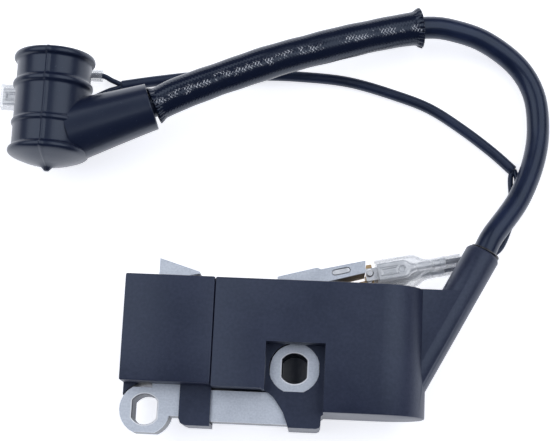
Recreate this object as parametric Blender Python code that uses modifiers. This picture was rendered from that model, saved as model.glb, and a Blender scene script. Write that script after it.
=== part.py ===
"""Ignition coil of a small two-stroke engine: laminated core, charge coil, coil housing, terminals, lead and boot.

Every dimension is in millimetres; the makers below turn them into Blender's metres. The drawing datum is the
centre of the left mounting hole on the table, with X along the housing, Y towards the flywheel and Z up.
"""

import math

import bmesh
import bpy
import numpy as np
from mathutils import Matrix, Vector

MM = 0.001

# ---------------------------------------------------------------- driving dimensions
SHEETS = 8
STACK_BACK, STACK_FRONT = 6.0, 14.0
SHEET_GAP = 0.06
CLEAR = 0.3
SLIP = 0.1

HOLE_WIDE, HOLE_TALL = 5.3, 6.4
EAR_R, EAR_FLAT = 5.3, -4.75
YOKE_TOP = 4.6
NECK_BOTTOM, STRIP_BOTTOM = -1.1, -1.9
NECK_RIGHT = 13.6
LEFT_LEG = (1.35, 7.75)
RIGHT_LEG = (29.8, 36.2)
LUG = (31.0, 9.8)
LUG_R = 5.15

HOUSING_DEEP = 20.0
HOUSING_TOP = 27.7
WALL = 1.6
SEAM = 0.12
EDGE = 0.32

CHARGE = (-5.0, 13.8, 5.4, 27.75)
STRAP_LEFT, STRAP_BOTTOM = 7.3, -3.0
STRAP_BACK, STRAP_FRONT = 5.1, 15.0

COIL_LEFT = CHARGE[1] + SEAM
COIL_BOTTOM, COIL_STEP = 0.5, 5.0
END_R = HOUSING_DEEP / 2
END_X = 48.7
POCKET = (25.0, 37.3, 14.66)
SKIN_FRONT = 14.9
WINDOW_R = 5.35
COUNTERBORE_R, COUNTERBORE_DEEP = 5.5, 5.9

TOWER_MOUTH = (70.55, 36.78, 11.05)
TOWER_ANGLE = 62.0
TOWER_R = 3.775
TOWER_LONG = 34.0
LEAD_BORE_R, LEAD_BORE_DEEP = 2.8, 22.0
LEAD_IN_TOWER = 8.0

BOARD_BACK, BOARD_FRONT = 2.3, 5.3
BOARD_X = (40.5, 50.5)
TAB_WIDE, TAB_THICK = 2.8, 0.5
KILL_Z, GROUND_Z = 5.7, 1.9
PLUG_MOUTH = (47.8, 32.15)
PLUG_ANGLE = 11.9
GROUND_SHIFT = -1.1

SLEEVE_WIDE, SLEEVE_TALL, SLEEVE_WALL = 5.7, 3.6, 0.3
SLEEVE_FLAT_LONG, SLEEVE_TAPER, SLEEVE_LONG = 8.3, 2.6, 18.7
SLEEVE_TAIL_R = 1.4
CLIP_WIDE, CLIP_TALL, CLIP_LONG = 3.9, 1.9, 6.4
CLIP_SHEET = 0.32

LEAD_R = 2.5
BRAID_R, BRAID_WALL = 3.2, 0.42
HARNESS_R = 1.2
WIRE_R = 0.6

BOOT_CROSS = (-24.8, 58.0, 13.1)
NECK_ANGLE = 19.9
NECK_LONG = 23.5
NECK_CLEAR = 0.45
BOOT_R = 8.1
BOOT_CAVITY_R = 5.6
BOOT_TIP, BOOT_FLOOR, BOOT_RIM = 51.1, 56.0, 77.0

FAR_KILL = (-38.6, 70.2, 1.9)
FAR_GROUND = (-34.6, 76.1, 1.9)


# ---------------------------------------------------------------- scene and materials
def clear_scene():
    for old in list(bpy.data.objects):
        bpy.data.objects.remove(old, do_unlink=True)


def new_collection(name, shown):
    made = bpy.data.collections.new(name)
    bpy.context.scene.collection.children.link(made)
    made.hide_render = not shown
    return made


def principled(name, colour, roughness, metallic=0.0, transmission=0.0):
    made = bpy.data.materials.get(name) or bpy.data.materials.new(name)
    made.use_nodes = True
    shader = made.node_tree.nodes["Principled BSDF"]
    shader.inputs["Base Color"].default_value = (*colour, 1.0)
    shader.inputs["Roughness"].default_value = roughness
    shader.inputs["Metallic"].default_value = metallic
    shader.inputs["Transmission Weight"].default_value = transmission
    made.diffuse_color = (*colour, 1.0)
    return made


def electrical_steel():
    return principled("electrical_steel", (0.40, 0.43, 0.49), 0.35, 1.0)


def housing_plastic():
    return principled("housing_plastic", (0.028, 0.034, 0.056), 0.55)


def potting_resin():
    return principled("potting_resin", (0.02, 0.02, 0.022), 0.3)


def bobbin_nylon():
    return principled("bobbin_nylon", (0.75, 0.73, 0.66), 0.5)


def copper_wire():
    return principled("copper_wire", (0.62, 0.25, 0.10), 0.3, 1.0)


def board_phenolic():
    return principled("board_phenolic", (0.58, 0.38, 0.19), 0.6)


def tinned_brass():
    return principled("tinned_brass", (0.78, 0.78, 0.76), 0.22, 1.0)


def clear_vinyl():
    return principled("clear_vinyl", (0.95, 0.95, 0.95), 0.1, 0.0, 0.9)


def black_rubber():
    return principled("black_rubber", (0.008, 0.008, 0.010), 0.28)


def glass_braid():
    return principled("glass_braid", (0.03, 0.03, 0.03), 0.6)


def component_body(name, colour):
    return principled(name, colour, 0.45)


# ---------------------------------------------------------------- makers
def placed(data, name, material, frame=None, collection=None):
    """A new object on this data, in the object's collection unless another is named."""
    thing = bpy.data.objects.new(name, data)
    (collection or SHOWN).objects.link(thing)
    if material:
        data.materials.append(material)
    thing.matrix_world = frame or Matrix.Identity(4)
    return thing


def hidden(data, name, frame=None):
    """A cutter or a piece to be joined: never a node of its own."""
    thing = placed(data, name, None, frame, HELPERS)
    thing.hide_render = True
    thing.display_type = "WIRE"
    return thing


def frame_at(origin, along, side=(0.0, 0.0, 1.0)):
    """A frame whose Z runs along one direction and whose X is as near as possible to the side direction."""
    z = Vector(along).normalized()
    x = (Vector(side) - z * z.dot(Vector(side))).normalized()
    made = Matrix((x, z.cross(x), z)).transposed().to_4x4()
    made.translation = Vector(origin) * MM
    return made


def arc(centre, radius, start, end, count):
    """Points of an arc, in degrees, both ends included."""
    turn = np.radians(np.linspace(start, end, count))
    return [(centre[0] + radius * c, centre[1] + radius * s) for c, s in zip(np.cos(turn), np.sin(turn))]


def rounded(corners, radius, count=4):
    """A closed loop with each corner given the same radius."""
    points = np.array(corners, float)
    made = []
    for here, before, after in zip(points, np.roll(points, 1, 0), np.roll(points, -1, 0)):
        a = (before - here) / np.linalg.norm(before - here)
        b = (after - here) / np.linalg.norm(after - here)
        half = 0.5 * math.acos(float(np.clip(a @ b, -1, 1)))
        back = radius / math.tan(half)
        share = np.linspace(0, 1, count)[:, None]
        start, end = here + a * back, here + b * back
        middle = here + (a + b) / np.linalg.norm(a + b) * radius / math.sin(half)
        spoke = (start - middle) * (1 - share) + (end - middle) * share
        spoke *= radius / np.linalg.norm(spoke, axis=1)[:, None]
        made += [tuple(p) for p in middle + spoke]
    return made


def slot_loop(centre, length, width, angle, count=5):
    """An obround loop of this overall length and width, turned by the angle."""
    reach = 0.5 * (length - width)
    right = arc((reach, 0), 0.5 * width, -90, 90, count)
    left = arc((-reach, 0), 0.5 * width, 90, 270, count)
    c, s = math.cos(math.radians(angle)), math.sin(math.radians(angle))
    return [(centre[0] + c * x - s * y, centre[1] + s * x + c * y) for x, y in right + left]


def double_d(centre, wide, tall, count=10):
    """A round hole of the tall size with a flat on its left and right sides."""
    lean = math.degrees(math.asin(wide / tall))
    top = arc(centre, 0.5 * tall, 90 - lean, 90 + lean, count)
    bottom = arc(centre, 0.5 * tall, 270 - lean, 270 + lean, count)
    return top + bottom


def plate_curve(name, loops, low, high):
    """A flat plate as a filled 2D curve; the first loop is its edge and the others are holes."""
    curve = bpy.data.curves.new(name, "CURVE")
    curve.dimensions = "2D"
    curve.fill_mode = "BOTH"
    curve.extrude = 0.5 * (high - low) * MM
    for loop in loops:
        spline = curve.splines.new("POLY")
        spline.points.add(len(loop) - 1)
        for point, (x, y) in zip(spline.points, loop):
            point.co = (x * MM, y * MM, 0.0, 1.0)
        spline.use_cyclic_u = True
    return curve


def lifted(low, high):
    return Matrix.Translation((0.0, 0.0, 0.5 * (low + high) * MM))


def plate(name, loops, low, high, material, frame=None):
    """A plate from low to high along the frame's Z, kept as a curve."""
    curve = plate_curve(name, loops, low, high)
    return placed(curve, name, material, (frame or Matrix.Identity(4)) @ lifted(low, high))


def prism_mesh(name, loops, low, high):
    """The same plate as a mesh with whole faces, for bevels and Booleans."""
    maker = bpy.data.objects.new(name + "_maker", plate_curve(name + "_loops", loops, low, high))
    SHOWN.objects.link(maker)
    mesh = bpy.data.meshes.new_from_object(maker)
    bpy.data.objects.remove(maker, do_unlink=True)
    mesh.name = name
    shape = bmesh.new()
    shape.from_mesh(mesh)
    bmesh.ops.remove_doubles(shape, verts=shape.verts, dist=1e-7)
    bmesh.ops.dissolve_limit(shape, angle_limit=0.002, verts=shape.verts, edges=shape.edges)
    bmesh.ops.translate(shape, verts=shape.verts, vec=(0.0, 0.0, 0.5 * (low + high) * MM))
    bmesh.ops.recalc_face_normals(shape, faces=shape.faces)
    shape.to_mesh(mesh)
    shape.free()
    return mesh


def box_mesh(name, x, y, z):
    mesh = bpy.data.meshes.new(name)
    shape = bmesh.new()
    size = Matrix.Diagonal(((x[1] - x[0]) * MM, (y[1] - y[0]) * MM, (z[1] - z[0]) * MM, 1.0))
    middle = Vector((x[0] + x[1], y[0] + y[1], z[0] + z[1])) * 0.5 * MM
    bmesh.ops.create_cube(shape, size=1.0, matrix=Matrix.Translation(middle) @ size)
    shape.to_mesh(mesh)
    shape.free()
    return mesh


def rod_mesh(name, radius, low, high, segments=24, top_radius=None):
    """A cylinder or a cone along Z."""
    mesh = bpy.data.meshes.new(name)
    shape = bmesh.new()
    far = radius if top_radius is None else top_radius
    spot = Matrix.Translation((0.0, 0.0, 0.5 * (low + high) * MM))
    bmesh.ops.create_cone(
        shape, cap_ends=True, segments=segments, radius1=radius * MM, radius2=far * MM,
        depth=(high - low) * MM, matrix=spot,
    )
    shape.to_mesh(mesh)
    shape.free()
    return mesh


def profile_mesh(name, profile, closed):
    """Edges of a (radius, height) profile in the XZ plane, for a Screw."""
    mesh = bpy.data.meshes.new(name)
    points = [(r * MM, 0.0, h * MM) for r, h in profile]
    edges = [(i, i + 1) for i in range(len(points) - 1)]
    if closed:
        edges.append((len(points) - 1, 0))
    mesh.from_pydata(points, edges, [])
    return mesh


def spin(thing, steps):
    """Turns the profile about the object's Z."""
    screw = thing.modifiers.new("spin", "SCREW")
    screw.angle = math.tau
    screw.steps = steps
    screw.render_steps = steps
    screw.use_merge_vertices = True
    screw.merge_threshold = 1e-6
    screw.use_smooth_shade = True
    return thing


def turned(name, profile, frame, steps, material, closed=False):
    return spin(placed(profile_mesh(name, profile, closed), name, material, frame), steps)


def boolean(target, other, operation):
    step = target.modifiers.new(other.name, "BOOLEAN")
    step.operation = operation
    step.solver = "EXACT"
    step.object = other


def cut(target, *others):
    for other in others:
        boolean(target, other, "DIFFERENCE")


def join(target, *others):
    for other in others:
        boolean(target, other, "UNION")


def bevel(target, width, segments=2):
    step = target.modifiers.new("edge", "BEVEL")
    step.width = width * MM
    step.segments = segments
    step.limit_method = "ANGLE"
    step.angle_limit = math.radians(50)


def smooth_by_angle(mesh, degrees=35.0):
    mesh.shade_smooth()
    mesh.set_sharp_from_angle(angle=math.radians(degrees))


def box(name, x, y, z, material, edge=0.0):
    thing = placed(box_mesh(name, x, y, z), name, material)
    if edge:
        bevel(thing, edge, 1)
    return thing


def hidden_box(name, x, y, z):
    return hidden(box_mesh(name, x, y, z), name)


# ---------------------------------------------------------------- routes and tubes
def smooth_route(route, spacing):
    """Points at about this spacing on a smooth curve through the route points, chord-length Catmull-Rom."""
    points = np.array(route, float)
    padded = np.vstack([2 * points[0] - points[1], points, 2 * points[-1] - points[-2]])
    knots = np.concatenate([[0.0], np.cumsum(np.sqrt(np.linalg.norm(np.diff(padded, axis=0), axis=1)))])
    fine = []
    for i in range(1, len(padded) - 2):
        t = np.linspace(knots[i], knots[i + 1], 24, endpoint=False)[:, None]
        fine.append(catmull(padded[i - 1 : i + 3], knots[i - 1 : i + 3], t))
    fine = np.vstack([*fine, points[-1:]])
    run = np.concatenate([[0.0], np.cumsum(np.linalg.norm(np.diff(fine, axis=0), axis=1))])
    count = max(2, int(math.ceil(run[-1] / spacing)) + 1)
    even = np.linspace(0.0, run[-1], count)
    return np.stack([np.interp(even, run, fine[:, axis]) for axis in range(3)], axis=1)


def catmull(p, k, t):
    """One span of the curve, by the three rounds of blending."""
    a = [((k[j + 1] - t) * p[j] + (t - k[j]) * p[j + 1]) / (k[j + 1] - k[j]) for j in range(3)]
    b = [((k[j + 2] - t) * a[j] + (t - k[j]) * a[j + 1]) / (k[j + 2] - k[j]) for j in range(2)]
    return ((k[2] - t) * b[0] + (t - k[1]) * b[1]) / (k[2] - k[1])


def tube_curve(name, points, radii, resolution, caps=True):
    """A round tube along the points, in metres once made."""
    curve = bpy.data.curves.new(name, "CURVE")
    curve.dimensions = "3D"
    curve.twist_mode = "MINIMUM"
    curve.bevel_depth = float(np.max(radii)) * MM
    curve.bevel_resolution = resolution
    curve.use_fill_caps = caps
    spline = curve.splines.new("POLY")
    spline.points.add(len(points) - 1)
    share = np.broadcast_to(np.asarray(radii, float), (len(points),)) / float(np.max(radii))
    for point, spot, size in zip(spline.points, points, share):
        point.co = (*(spot * MM), 1.0)
        point.radius = float(size)
    return curve


def cord(name, points, radius, resolution, material):
    return placed(tube_curve(name, np.asarray(points, float), radius, resolution), name, material)


# ---------------------------------------------------------------- directions
def unit(angle):
    return np.array([math.cos(math.radians(angle)), math.sin(math.radians(angle)), 0.0])


def along_tower(distance):
    """A point on the tower's axis, this far out from its mouth."""
    return np.array(TOWER_MOUTH) + distance * unit(TOWER_ANGLE)


def along_neck(distance):
    """A point on the boot neck's axis, this far from the crossing with the boot's own axis."""
    return np.array(BOOT_CROSS) + distance * unit(NECK_ANGLE)


def plug_frame(mouth, angle):
    """Z runs from the plug's mouth to its wire, and X points up."""
    return frame_at(mouth, unit(angle), (0.0, 0.0, 1.0))


def near_mouths():
    kill = (*PLUG_MOUTH, KILL_Z)
    ground = (PLUG_MOUTH[0], PLUG_MOUTH[1] + GROUND_SHIFT, GROUND_Z)
    return kill, ground


# ---------------------------------------------------------------- core
def core_loop():
    """The edge of one sheet, counter-clockwise from the ear's flat."""
    half = math.sqrt(EAR_R**2 - EAR_FLAT**2)
    flat = math.degrees(math.acos(half / EAR_R))
    neck = math.degrees(math.asin(-NECK_BOTTOM / EAR_R))
    shoulder = math.degrees(math.asin(YOKE_TOP / EAR_R))
    lug_side = math.degrees(math.acos((RIGHT_LEG[0] - LUG[0]) / LUG_R))
    loop = arc((0, 0), EAR_R, -flat, -neck, 6)
    loop += [(NECK_RIGHT, NECK_BOTTOM), (NECK_RIGHT, STRIP_BOTTOM), (RIGHT_LEG[1], STRIP_BOTTOM)]
    loop += [(RIGHT_LEG[1], 28.3), (45.17, 30.83), (45.15, 33.47), (35.74, 31.2), (34.98, 31.54)]
    loop += [(26.56, 29.22), (26.6, 28.55), (RIGHT_LEG[0], 28.0)]
    loop += arc(LUG, LUG_R, lug_side, 180, 7)
    loop += [(LUG[0] - LUG_R, YOKE_TOP), (LEFT_LEG[1], YOKE_TOP), (LEFT_LEG[1], 28.7)]
    loop += [(10.0, 29.2), (10.0, 29.62), (LEFT_LEG[0], 32.24), (LEFT_LEG[0], YOKE_TOP)]
    return loop + arc((0, 0), EAR_R, 180 - shoulder, 180 + flat, 13)


PIN_PLACES = {"core_interlock_pole": ((40.04, 30.92), 13.9), "core_interlock_leg": ((4.55, 16.0), 90.0)}
PIN_LONG, PIN_WIDE = 3.9, 1.1


def laminations():
    """The sheets share one curve: the edge, the two double-D holes and the two interlock slots."""
    pitch = (STACK_FRONT - STACK_BACK) / SHEETS
    loops = [core_loop(), double_d((0, 0), HOLE_WIDE, HOLE_TALL), double_d(LUG, HOLE_WIDE, HOLE_TALL)]
    for centre, angle in PIN_PLACES.values():
        loops.append(slot_loop(centre, PIN_LONG + 2 * SLIP, PIN_WIDE + 2 * SLIP, angle))
    sheet = plate_curve("lamination", loops, 0.0, pitch - SHEET_GAP)
    for i in range(SHEETS):
        middle = STACK_BACK + (i + 0.5) * pitch
        steel = electrical_steel() if i == 0 else None
        placed(sheet, f"lamination_{i + 1}", steel, Matrix.Translation((0.0, 0.0, middle * MM)))


def interlock_pins():
    for name, (centre, angle) in PIN_PLACES.items():
        loop = slot_loop(centre, PIN_LONG, PIN_WIDE, angle)
        plate(name, [loop], STACK_BACK + SLIP, STACK_FRONT - SLIP, electrical_steel())


def core_space(name):
    """Room for the core with clearance all round, where the coil housing encloses it."""
    side = math.degrees(math.acos((RIGHT_LEG[0] - CLEAR - LUG[0]) / (LUG_R + CLEAR)))
    left, right = RIGHT_LEG[0] - CLEAR, RIGHT_LEG[1] + CLEAR
    loop = [(13.0, STRIP_BOTTOM - CLEAR), (right, STRIP_BOTTOM - CLEAR), (right, 29.5), (left, 29.5)]
    loop += arc(LUG, LUG_R + CLEAR, side, 180, 8)
    loop += [(LUG[0] - LUG_R - CLEAR, YOKE_TOP + CLEAR), (13.0, YOKE_TOP + CLEAR)]
    return hidden(prism_mesh(name, [loop], STACK_BACK - CLEAR, STACK_FRONT + CLEAR), name)


# ---------------------------------------------------------------- charge coil
def charge_housing():
    left, right, bottom, top = CHARGE
    shell = placed(
        prism_mesh("charge_housing", [[(left, bottom), (right, bottom), (right, top), (left, top)]], 0.0, HOUSING_DEEP),
        "charge_housing", housing_plastic(),
    )
    bevel(shell, EDGE)
    strap = [(STRAP_LEFT, bottom + 0.6), (STRAP_LEFT, -1.6), (7.7, -2.6), (8.7, STRAP_BOTTOM)]
    strap += [(right, STRAP_BOTTOM), (right, bottom + 0.6)]
    skirt = [(left + 0.2, bottom + 0.6), (left + 0.2, 2.2), (1.2, 5.2), (1.2, bottom + 0.6)]
    join(
        shell,
        hidden(prism_mesh("strap_piece", [strap], STRAP_BACK, STRAP_FRONT), "strap_piece"),
        hidden(prism_mesh("skirt_piece", [skirt], 5.0, 13.6), "skirt_piece"),
    )
    leg = (LEFT_LEG[0] - CLEAR, LEFT_LEG[1] + CLEAR)
    depth = (STACK_BACK - CLEAR, STACK_FRONT + CLEAR)
    cut(
        shell,
        hidden_box("charge_cavity", (left + WALL, right - WALL), (bottom + WALL, top - WALL), (-1.0, HOUSING_DEEP - WALL)),
        hidden_box("charge_leg_space", leg, (4.0, top + 2.0), depth),
        hidden_box("neck_space", (2.0, right + 1.0), (NECK_BOTTOM - CLEAR, YOKE_TOP + CLEAR), depth),
        hidden_box("strip_space", (NECK_RIGHT - CLEAR, right + 1.1), (STRIP_BOTTOM - CLEAR, 3.0), depth),
        hidden(rod_mesh("ear_space", EAR_R + CLEAR, 1.0, 19.0, 32), "ear_space"),
    )
    smooth_by_angle(shell.data)


def ring_prism(name, outer, inner, low, high, material):
    """A rectangular ring along Y: outer and inner are (x, x, z, z)."""
    loops = [rectangle(outer, 0.8), rectangle(inner, 0.0)]
    frame = frame_at((0.0, 0.0, 0.0), (0.0, 1.0, 0.0), (1.0, 0.0, 0.0))
    loops = [[(x, -z) for x, z in loop] for loop in loops]
    return plate(name, loops, low, high, material, frame)


def rectangle(sides, radius):
    x0, x1, y0, y1 = sides
    corners = [(x0, y0), (x1, y0), (x1, y1), (x0, y1)]
    return rounded(corners, radius, 3) if radius else corners


def around_leg(leg, grow):
    """A rectangle around a leg's section, grown by this much."""
    return (leg[0] - grow, leg[1] + grow, STACK_BACK - grow, STACK_FRONT + grow)


def charge_bobbin():
    """A tube on the left leg with a flange at each end, in one piece."""
    low, high = CHARGE[2] + WALL + 0.4, CHARGE[3] - WALL - 0.4
    tube = around_leg(LEFT_LEG, CLEAR + 0.9)
    inner = around_leg(LEFT_LEG, CLEAR)
    frame = frame_at((0.0, 0.0, 0.0), (0.0, 1.0, 0.0), (1.0, 0.0, 0.0))
    turned_over = [[(x, -z) for x, z in rectangle(sides, 0.0)] for sides in (tube, inner)]
    spool = placed(prism_mesh("charge_bobbin", turned_over, low, high), "charge_bobbin", bobbin_nylon(), frame)
    for name, start in (("charge_flange_low", low), ("charge_flange_high", high - 1.0)):
        loops = [[(x, -z) for x, z in rectangle(around_leg(LEFT_LEG, g), 0.0)] for g in (3.8, CLEAR)]
        join(spool, hidden(prism_mesh(name, loops, start, start + 1.0), name, frame))


def charge_winding():
    low, high = CHARGE[2] + WALL + 0.4 + 1.3, CHARGE[3] - WALL - 0.4 - 1.3
    outer, inner = around_leg(LEFT_LEG, 3.4), around_leg(LEFT_LEG, CLEAR + 1.2)
    ring_prism("charge_winding", outer, inner, low, high, copper_wire())


def charge_potting():
    x = (CHARGE[0] + WALL + 0.2, CHARGE[1] - WALL - 0.2)
    y = (CHARGE[2] + WALL + 0.2, CHARGE[3] - WALL - 0.2)
    box("charge_potting", x, y, (0.6, 1.7), potting_resin())


# ---------------------------------------------------------------- coil housing
ELECTRONICS = (15.5, 37.6, 16.3, HOUSING_TOP - WALL)
ANNEX = (15.5, 23.4, 6.6)
HV_LEFT = 38.9
HV_Y = (COIL_BOTTOM + WALL, HOUSING_TOP - WALL)


def along_y():
    """X stays X, the frame's Y is minus Z, and its Z is Y."""
    return frame_at((0.0, 0.0, 0.0), (0.0, 1.0, 0.0), (1.0, 0.0, 0.0))


def d_section(left, radius, back, front):
    """A section that is square on its left and a half circle on its right, as (x, -z)."""
    half = arc((END_X, 0.5 * HOUSING_DEEP), radius, -90, 90, 17)
    loop = [(left, back), *half, (left, front)]
    return [(x, -z) for x, z in loop]


def mount_loop():
    """The block round the second lug, with its swept left side and its tab at the bottom."""
    sweep = [(24.4, 5.6), (24.4, 4.8), (25.2, 4.72), (25.7, 4.5), (26.7, 3.7), (27.5, 2.7), (28.4, 1.4)]
    sweep += [(29.0, 0.5), (29.5, -0.8), (29.9, -1.9), (30.1, -2.6)]
    tab = [(36.0, -2.6), (36.64, -2.34), (36.9, -1.7), (36.9, 0.0), (37.9, 0.9), (37.9, 15.2), (24.4, 15.2)]
    return sweep + tab


def window_loop():
    """The round window in the pocket's floor, flat along its bottom."""
    lean = math.degrees(math.asin((LUG[1] - YOKE_TOP - 0.25) / WINDOW_R))
    return arc(LUG, WINDOW_R, -lean, 180 + lean, 24)


def tower_profile():
    """Down the outside from the mouth: a small round at the lip, then straight."""
    top = TOWER_LONG
    lip = [(0.0, top), (TOWER_R - 0.9, top), (TOWER_R - 0.35, top - 0.2), (TOWER_R, top - 0.8)]
    return [*lip, (TOWER_R, 0.0), (0.0, 0.0)]


def tower_frame(distance=0.0):
    return frame_at(along_tower(distance), unit(TOWER_ANGLE))


def coil_housing():
    shell_loop = d_section(COIL_LEFT, END_R, 0.0, HOUSING_DEEP)
    shell = placed(
        prism_mesh("coil_housing", [shell_loop], COIL_BOTTOM, HOUSING_TOP), "coil_housing", housing_plastic(), along_y()
    )
    bevel(shell, EDGE)
    tower = spin(hidden(profile_mesh("tower_piece", tower_profile(), False), "tower_piece", tower_frame(-TOWER_LONG)), 28)
    low, high = along_tower(-28.0), along_tower((HOUSING_TOP - TOWER_MOUTH[1]) / unit(TOWER_ANGLE)[1])
    web = [(56.0, low[1]), tuple(low[:2]), tuple(high[:2]), (56.0, HOUSING_TOP)]
    web_z = (TOWER_MOUTH[2] - TOWER_R + 0.02, TOWER_MOUTH[2] + TOWER_R - 0.02)
    sweep = [spot for spot in mount_loop() if spot[0] < 30.5][:-1]
    step = [(12.0, -4.0), (30.1, -4.0), *reversed(sweep[1:]), (24.4, COIL_STEP), (12.0, COIL_STEP)]
    cut(shell, hidden(prism_mesh("left_step", [step], -1.0, 21.0), "left_step"))
    join(
        shell,
        hidden(prism_mesh("mount_piece", [mount_loop()], 0.0, SKIN_FRONT), "mount_piece"),
        hidden(prism_mesh("web_piece", [web], *web_z), "web_piece"),
        tower,
    )
    cut(
        shell,
        hidden_box("pocket", POCKET[:2], (-6.0, POCKET[2]), (SKIN_FRONT, 22.0)),
        core_space("coil_core_space"),
        hidden(prism_mesh("window", [window_loop()], STACK_FRONT, 16.0), "window"),
        hidden(rod_mesh("counterbore", COUNTERBORE_R, -1.0, COUNTERBORE_DEEP, 32), "counterbore", moved(LUG)),
        *housing_cavities(),
        *lead_passage(),
    )
    smooth_by_angle(shell.data)


def moved(spot):
    return Matrix.Translation((spot[0] * MM, spot[1] * MM, 0.0))


def housing_cavities():
    """The two rooms open to the back, the notch in the wall between them, and the slot for the terminal board."""
    x0, x1, y0, y1 = ELECTRONICS
    front = HOUSING_DEEP - WALL
    half = arc((END_X, 0.5 * HOUSING_DEEP), END_R - WALL, -90, 90, 13)
    coil_room = [(HV_LEFT, -1.0), (END_X, -1.0), *half, (HV_LEFT, front)]
    slot_y = (HOUSING_TOP - WALL - 0.6, HOUSING_TOP + 0.7)
    return [
        hidden_box("electronics_room", (x0, x1), (y0, y1), (-1.0, front)),
        hidden_box("electronics_annex", ANNEX[:2], (ANNEX[2], y0 + 1.0), (-1.1, front - 0.1)),
        hidden(prism_mesh("coil_room", [[(x, -z) for x, z in coil_room]], *HV_Y), "coil_room", along_y()),
        hidden_box("wall_notch", (x1 - 0.5, HV_LEFT + 0.5), (y0 + 0.1, y1 - 0.1), (-1.2, 2.2)),
        hidden_box("board_slot", (BOARD_X[0] - CLEAR, BOARD_X[1] + CLEAR), slot_y, (BOARD_BACK - CLEAR, BOARD_FRONT + CLEAR)),
    ]


def lead_passage():
    bore = rod_mesh("lead_bore", LEAD_BORE_R, -LEAD_BORE_DEEP, 2.0, 28)
    pin = rod_mesh("pin_bore", 1.0, -TOWER_LONG + 1.0, -LEAD_BORE_DEEP + 1.0, 16)
    return [hidden(bore, "lead_bore", tower_frame()), hidden(pin, "pin_bore", tower_frame())]


def coil_axis():
    """The high-voltage coil's axis, from its low end, along Y."""
    return frame_at((END_X, 0.0, 0.5 * HOUSING_DEEP), (0.0, 1.0, 0.0), (1.0, 0.0, 0.0))


def ring_profile(inner, outer, low, high):
    return [(outer, high), (outer, low), (inner, low), (inner, high)]


def spool_profile(inner, drum, flange, low, high, thick):
    outer = [(flange, high), (flange, high - thick), (drum, high - thick), (drum, low + thick)]
    return [*outer, (flange, low + thick), (flange, low), (inner, low), (inner, high)]


def ht_core_rod():
    profile = [(0.0, 23.4), (2.2, 23.4), (2.2, 3.6), (0.0, 3.6)]
    turned("ht_core_rod", profile, coil_axis(), 16, electrical_steel())


def primary_coil():
    spool = spool_profile(2.5, 3.0, 4.4, 3.4, 23.6, 0.6)
    turned("primary_bobbin", spool, coil_axis(), 20, bobbin_nylon(), True)
    turned("primary_winding", ring_profile(3.3, 4.2, 4.3, 22.7), coil_axis(), 20, copper_wire(), True)


def secondary_coil():
    spool = spool_profile(4.7, 5.2, 7.6, 3.2, 23.8, 0.8)
    turned("secondary_bobbin", spool, coil_axis(), 24, bobbin_nylon(), True)
    turned("secondary_winding", ring_profile(5.5, 7.1, 4.3, 22.7), coil_axis(), 24, copper_wire(), True)


def trigger_winding():
    ring_prism("trigger_winding", around_leg(RIGHT_LEG, 0.9), around_leg(RIGHT_LEG, CLEAR + 0.05), 17.2, 25.2, copper_wire())


def circuit_board():
    plate("circuit_board", [rectangle((16.0, 28.4, 17.0, 25.6), 0.0)], 14.0, 15.2, component_body("green_laminate", (0.03, 0.16, 0.07)))


def board_components():
    box("capacitor", (16.4, 23.4), (20.8, 25.2), (8.0, 13.7), component_body("capacitor_film", (0.45, 0.08, 0.03)), 0.4)
    box("thyristor", (24.0, 28.2), (22.0, 25.2), (9.4, 13.7), component_body("black_epoxy", (0.02, 0.02, 0.02)), 0.3)
    for i, x in enumerate((17.6, 20.4)):
        frame = frame_at((x, 17.3, 12.4), (0.0, 1.0, 0.0), (1.0, 0.0, 0.0))
        profile = [(0.0, 3.0), (1.1, 3.0), (1.1, 0.0), (0.0, 0.0)]
        turned(f"diode_{i + 1}", profile, frame, 12, component_body("black_epoxy", (0.02, 0.02, 0.02)))
    frame = frame_at((24.4, 18.0, 12.4), (0.0, 1.0, 0.0), (1.0, 0.0, 0.0))
    profile = [(0.0, 3.4), (0.9, 3.4), (0.9, 0.0), (0.0, 0.0)]
    turned("resistor", profile, frame, 12, component_body("resistor_body", (0.55, 0.42, 0.25)))


def main_potting():
    """A thin layer over both rooms, set in from the back face."""
    x0, x1, y0, y1 = ELECTRONICS
    low = HV_Y[0] + 0.2
    loop = [(x0 + 0.2, ANNEX[2] + 0.2), (ANNEX[1] - 0.2, ANNEX[2] + 0.2), (ANNEX[1] - 0.2, y0 + 0.2)]
    loop += [(HV_LEFT + 0.2, y0 + 0.2), (HV_LEFT + 0.2, low), (END_X - 0.3, low), (END_X - 0.3, y1 - 0.2)]
    loop += [(x0 + 0.2, y1 - 0.2)]
    plate("main_potting", [loop], 0.7, 1.9, potting_resin())


# ---------------------------------------------------------------- terminals
RIVET_BACK = 1.4
RIVET_R = 0.55


def circle(centre, radius, count=12):
    return arc(centre, radius, 0, 360 - 360 / count, count)


def rivet_spot(key):
    """Behind the plug's mouth, a little to one side of its axis."""
    mouth = near_mouths()[0 if key == "kill" else 1]
    side = 0.3 if key == "kill" else -0.2
    spot = np.array(mouth) - RIVET_BACK * unit(PLUG_ANGLE) + side * unit(PLUG_ANGLE + 90)
    return tuple(spot[:2])


def terminal_board():
    """Its foot sits in the housing's slot, and its upright follows the plug's mouth."""
    x, y = PLUG_MOUTH
    foot, step = HOUSING_TOP - 3.2, HOUSING_TOP - 0.4
    edge = [(BOARD_X[0], foot), (BOARD_X[1], foot), (BOARD_X[1], step), (x + 0.3, step), (x - 1.1, y + 2.1)]
    edge += [(x - 2.25, y + 1.9), (x - 2.25, y - 1.6), (BOARD_X[0], y - 3.0)]
    holes = [circle(rivet_spot(key), RIVET_R + SLIP) for key in ("kill", "ground")]
    plate("terminal_board", [edge, *holes], BOARD_BACK, BOARD_FRONT, board_phenolic())


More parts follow.
